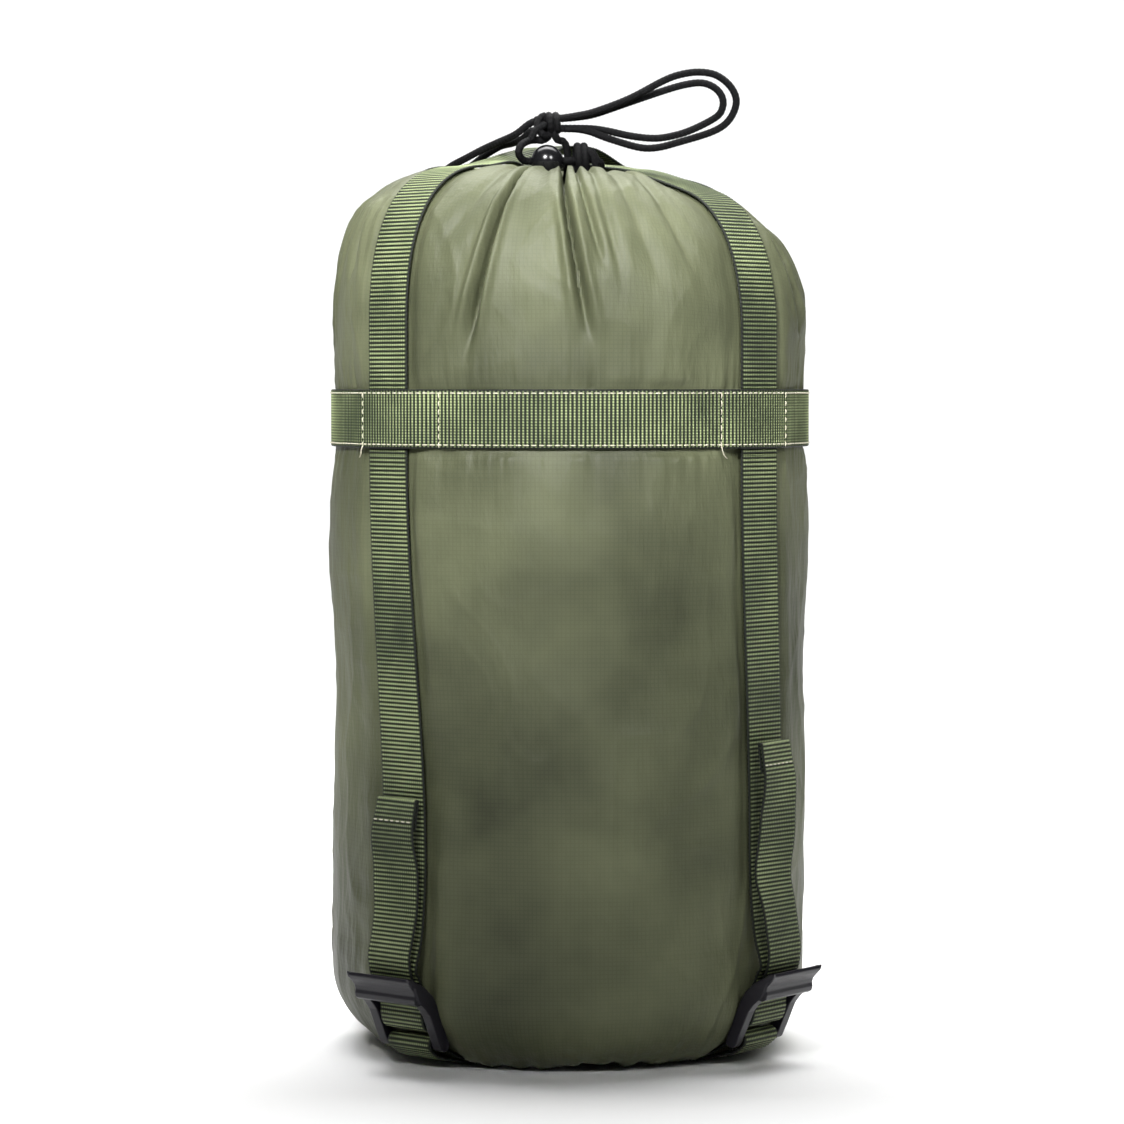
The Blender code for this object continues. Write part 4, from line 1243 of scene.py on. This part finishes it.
def thread_ends():
    """Loose ends of thread below three of the belt's tacks."""
    ends = (("front_left", 0, -1), ("front_right", 0, 1), ("rear_right", 1, -1))
    for place, side_index, lean in ends:
        azimuth = TOP_AZIMUTH[place] + TACKS[place][side_index]
        start, out = belt_point(azimuth, BAND_LOW_Z + 0.0008)
        side = Vector((-out.y, out.x, 0))
        route = [
            start + out * 0.0002, start + out * 0.0007 - Vector((0, 0, 0.0016)),
            start + out * 0.0003 + side * (0.0012 * lean) - Vector((0, 0, 0.0036)),
            start - out * 0.0005 + side * (0.0034 * lean) - Vector((0, 0, 0.0050)),
        ]
        centres = smooth_route(route, 0.0003)
        points = [p for c in centres for p in circle(c, out, side, THREAD_RADIUS, 6)]
        end = mesh_object(f"thread_end_{place}", points, tube_faces(len(centres), 6), THREAD)
        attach(end, "crown")


def stitches(name, line, outward):
    """A row of thread stitches along a line; each dips into the cloth at its ends."""
    length = polyline_length(line)
    pitch = STITCH + STITCH_GAP
    count = max(1, int(length / pitch))
    steps, around = 6, 6
    places = resample(line, count * 20)
    points, faces = [], []
    for s in range(count):
        start = s * 20
        share = round(20 * STITCH / pitch)
        centres = [places[start + round(share * i / steps)] for i in range(steps + 1)]
        base = len(points)
        for i, centre in enumerate(centres):
            out = outward or Vector((centre.x, centre.y, 0)).normalized()
            along = (centres[min(i + 1, steps)] - centres[max(i - 1, 0)]).normalized()
            across = out.cross(along).normalized()
            rise = math.sin(math.pi * i / steps)
            middle = centre + out * (THREAD_RADIUS * (2.0 * rise - 1.2))
            radius = THREAD_RADIUS * (0.6 + 0.4 * rise)
            points += circle(middle, across, out, radius, around)
        faces += [tuple(base + i for i in face) for face in tube_faces(steps + 1, around)]
    obj = mesh_object(name, points, faces, THREAD)
    return obj


# ---- Buckles ------------------------------------------------------------------------------------
def extruded(outline, half_width, shift=0.0):
    """A bmesh of a closed (n, u) outline, drawn out to both sides of side = shift."""
    bm = bmesh.new()
    verts = [bm.verts.new((shift - half_width, n, u)) for n, u in outline]
    face = bm.faces.new(verts)
    moved = bmesh.ops.extrude_face_region(bm, geom=[face])["geom"]
    top = [v for v in moved if isinstance(v, bmesh.types.BMVert)]
    bmesh.ops.translate(bm, vec=(2 * half_width, 0, 0), verts=top)
    bmesh.ops.recalc_face_normals(bm, faces=bm.faces)
    return bm


BUCKLE_HALF_INSIDE, RAIL_WIDTH, RAIL_DEPTH, ANCHOR_BAR_RADIUS = 0.0134, 0.0050, 0.0052, 0.0020


def rail_outline():
    half = RAIL_DEPTH / 2
    foot = arc((0.0, 0.0), half, 0, -180, 10)
    return foot + [
        (-half, 0.0180), (-half + 0.0008, 0.0235), (0.0010, 0.0290), (0.0034, 0.0322),
        (0.0066, 0.0326), (0.0064, 0.0250), (half + 0.0014, 0.0195), (half + 0.0004, 0.0160),
    ]


def lip_outline():
    """The lip: a ridge along its lower edge, a hollow, and a thumb plate that flares out above."""
    return [
        (0.0022, 0.0228), (0.0022, 0.0268), (0.0034, 0.0318), (0.0056, 0.0352), (0.0078, 0.0366),
        (0.0090, 0.0358), (0.0086, 0.0338), (0.0078, 0.0318), (0.0072, 0.0300), (0.0074, 0.0282),
        (0.0084, 0.0266), (0.0086, 0.0248), (0.0074, 0.0232), (0.0048, 0.0226),
    ]


def ear(sign, outside):
    """The pointed end of the thumb plate."""
    outline = [
        (0.0040, 0.0318), (0.0060, 0.0354), (0.0084, 0.0368), (0.0088, 0.0344), (0.0070, 0.0318),
    ]
    bm = extruded(outline, 0.0008, sign * (outside - 0.0008))
    for v in bm.verts:
        if v.co.x * sign > outside - 0.0008:
            v.co.z += 0.0006
            v.co.y += 0.0002
    return bm


def buckle_mesh():
    """The moulded buckle that the four share, in (side, n, u) axes with the anchor bar at 0."""
    outside = BUCKLE_HALF_INSIDE + RAIL_WIDTH
    rail = outside - RAIL_WIDTH / 2
    grip = [(n + GRIP_BAR_N, u) for n, u in (
        *arc((0, GRIP_BAR_U + 0.0009), 0.0016, 0, 180, 8),
        *arc((0, GRIP_BAR_U - 0.0009), 0.0016, 180, 360, 8),
    )]
    shapes = [
        extruded(rail_outline(), RAIL_WIDTH / 2, -rail),
        extruded(rail_outline(), RAIL_WIDTH / 2, rail),
        extruded(arc((0, 0), ANCHOR_BAR_RADIUS, 0, 345, 23), outside - 0.001),
        extruded(grip, outside - 0.001),
        extruded(lip_outline(), outside - 0.0006),
        ear(-1, outside),
        ear(1, outside),
    ]
    objects = []
    for bm in shapes:
        mesh = bpy.data.meshes.new("buckle_shape")
        bm.to_mesh(mesh)
        bm.free()
        obj = bpy.data.objects.new("buckle_shape", mesh)
        bpy.context.scene.collection.objects.link(obj)
        objects.append(obj)
    first = objects[0]
    for other in objects[1:]:
        joined = first.modifiers.new("join", "BOOLEAN")
        joined.operation = "UNION"
        joined.object = other
    remesh = first.modifiers.new("remesh", "REMESH")
    remesh.mode = "VOXEL"
    remesh.voxel_size = 0.0003
    remesh.use_smooth_shade = True
    soften = first.modifiers.new("soften", "SMOOTH")
    soften.factor = 0.5
    soften.iterations = 4
    mesh = evaluated_mesh(first)
    for obj in objects:
        bpy.data.objects.remove(obj)
    mesh.name = "ladder_lock_moulding"
    mesh.shade_smooth()
    mesh.materials.clear()
    mesh.materials.append(BUCKLE_PLASTIC)
    return mesh


def buckle_matrix(azimuth):
    out, side = at_azimuth(azimuth)
    up = Vector((0, 0, 1))
    u = out * math.sin(BUCKLE_LEAN) + up * math.cos(BUCKLE_LEAN)
    n = out * math.cos(BUCKLE_LEAN) - up * math.sin(BUCKLE_LEAN)
    matrix = Matrix((side, n, u)).transposed().to_4x4()
    matrix.translation = out * ANCHOR[0] + up * ANCHOR[1]
    return matrix


def buckles():
    mesh = buckle_mesh()
    for place, azimuth in BASE_AZIMUTH.items():
        obj = bpy.data.objects.new(f"buckle_moulding_{place}", mesh)
        bpy.context.scene.collection.objects.link(obj)
        obj.matrix_world = buckle_matrix(azimuth)
        stands_for(obj, f"ladder_lock_buckle_{place}", f"buckle_{place}")


# ---- Cord lock ----------------------------------------------------------------------------------
def turned_y(name, outline, around, material):
    """A closed solid turned about Y through the lock, from (y, radius) points off the axis."""
    points = []
    for y, r in outline:
        centre = LOCK_AXIS + Vector((0, y, 0))
        points += circle(centre, Vector((1, 0, 0)), Vector((0, 0, 1)), r, around)
    return mesh_object(name, points, tube_faces(len(outline), around), material)


def cord_hole(obj, y_low, y_high):
    """Cuts the hole that the cord runs through, along X."""
    half = CORD / 2 + 0.0004
    bm = bmesh.new()
    made = bmesh.ops.create_cube(bm, size=1)["verts"]
    bmesh.ops.scale(bm, vec=(0.03, y_high - y_low, 2 * half), verts=made)
    bmesh.ops.translate(bm, vec=LOCK_AXIS + Vector((0, (y_low + y_high) / 2, 0)), verts=made)
    mesh = bpy.data.meshes.new("cord_hole")
    bm.to_mesh(mesh)
    bm.free()
    cutter = bpy.data.objects.new("cord_hole", mesh)
    bpy.context.scene.collection.objects.link(cutter)
    cut = obj.modifiers.new("cut", "BOOLEAN")
    cut.operation = "DIFFERENCE"
    cut.object = cutter
    round_off = obj.modifiers.new("round", "BEVEL")
    round_off.width = 0.00025
    round_off.segments = 2
    round_off.angle_limit = math.radians(50)
    mesh = evaluated_mesh(obj)
    obj.modifiers.clear()
    obj.data = mesh
    mesh.shade_smooth()
    mesh.set_sharp_from_angle(angle=math.radians(60))
    bpy.data.objects.remove(cutter)


def cord_lock():
    front, rear = LOCK_LOW.y, LOCK_HIGH.y
    bore = 0.0045
    nose = front + LOCK_RADIUS
    dome = []
    for i in range(1, 19):
        a = math.radians(5 * i)
        dome.append((nose - LOCK_RADIUS * math.cos(a), LOCK_RADIUS * math.sin(a)))
    rim = 0.0016
    corner = [
        (rear - rim + rim * math.sin(a), LOCK_RADIUS - rim + rim * math.cos(a))
        for a in map(math.radians, (0, 22, 45, 67, 90))
    ]
    outline = dome + corner + [(rear, bore), (front + 0.0017, bore), (front + 0.0017, 0.0004)]
    barrel = turned_y("cord_lock_ball", outline, 64, LOCK_PLASTIC)
    middle = front + 0.0087
    cord_hole(barrel, middle - 0.0019, middle + 0.0019)
    stands_for(barrel, "cord_lock_barrel", "crown")

    low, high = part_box("cord_lock_plunger")
    stem = 0.0042
    head = (high.z - low.z) / 2
    outline = [
        (low.y, 0.0004), (low.y, stem - 0.0003), (low.y + 0.0003, stem), (high.y - 0.0018, stem),
        (high.y - 0.0016, head - 0.0002), (high.y - 0.0012, head),
        (high.y - 0.0008, head - 0.0003), (high.y - 0.0002, 0.0030),
        (high.y, 0.0014), (high.y, 0.0004),
    ]
    plunger = turned_y("cord_lock_button", outline, 64, LOCK_PLASTIC)
    cord_hole(plunger, middle - 0.0018, middle + 0.0044)
    stands_for(plunger, "cord_lock_plunger", "lock_plunger")


def cord_lock_spring():
    """The coil between the bore's end and the plunger; it shortens as the button goes in, but here
    it is one fixed coil on the crown.
    """
    low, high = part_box("cord_lock_spring")
    wire, turns, per_turn, around = 0.00025, 3.5, 28, 8
    coil = (high.z - low.z) / 2 - wire
    start, end = low.y + wire, high.y - wire
    count = round(turns * per_turn)
    points = []
    for i in range(count + 1):
        a = TAU * i / per_turn
        share = i / count
        radial = Vector((math.cos(a), 0, math.sin(a)))
        centre = LOCK_AXIS + radial * coil + Vector((0, start + (end - start) * share, 0))
        points += circle(centre, radial, Vector((0, 1, 0)), wire, around)
    spring = mesh_object("cord_lock_coil", points, tube_faces(count + 1, around), STEEL)
    stands_for(spring, "cord_lock_spring", "crown")
    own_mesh(spring)


def seam_binding():
    """The bound seam allowance inside, where the base panel meets the wall."""
    low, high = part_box("base_seam_binding")
    thick, around, bevel = 0.0018, 240, 0.0004
    outer, inner = high.x, high.x - thick
    section = [
        (outer, low.z + bevel), (outer, high.z - bevel), (outer - bevel, high.z),
        (inner + bevel, high.z), (inner, high.z - bevel), (inner, low.z + bevel),
        (inner + bevel, low.z), (outer - bevel, low.z),
    ]
    points, faces, uvs = [], [], []
    for i in range(around):
        out, _ = at_azimuth(360 * i / around)
        ruffle = 0.0002 * math.sin(23 * TAU * i / around)
        points += [out * (r + ruffle) + Vector((0, 0, z)) for r, z in section]
    count = len(section)
    for corners in ring_corners(around, count):
        faces.append(tuple((a % around) * count + b for a, b in corners))
        uvs += [(TAU * outer * a / around, section[b][1]) for a, b in corners]
    binding = mesh_object("seam_binding_tape", points, faces, NYLON, uvs)
    stands_for(binding, "base_seam_binding", "sack_base")


def main():
    camera()
    drawcord()
    studio()
    skin()
    mouth_channel()
    top_cross_strap("a", 0.3959, (0.012, 0.050), (0.000, 0.032), front_tilt=16)
    top_cross_strap("b", 0.3878, (0.018, 0.014), (0.018, 0.014))
    base_cross_strap("a", dips=False)
    base_cross_strap("b", dips=True)
    for place in PLACES:
        side_strap(place)
        strap_wrap(place)
        strap_tail(place)
    belt()
    belt_stitching()
    thread_ends()
    buckles()
    cord_lock()
    cord_lock_spring()
    seam_binding()


main()
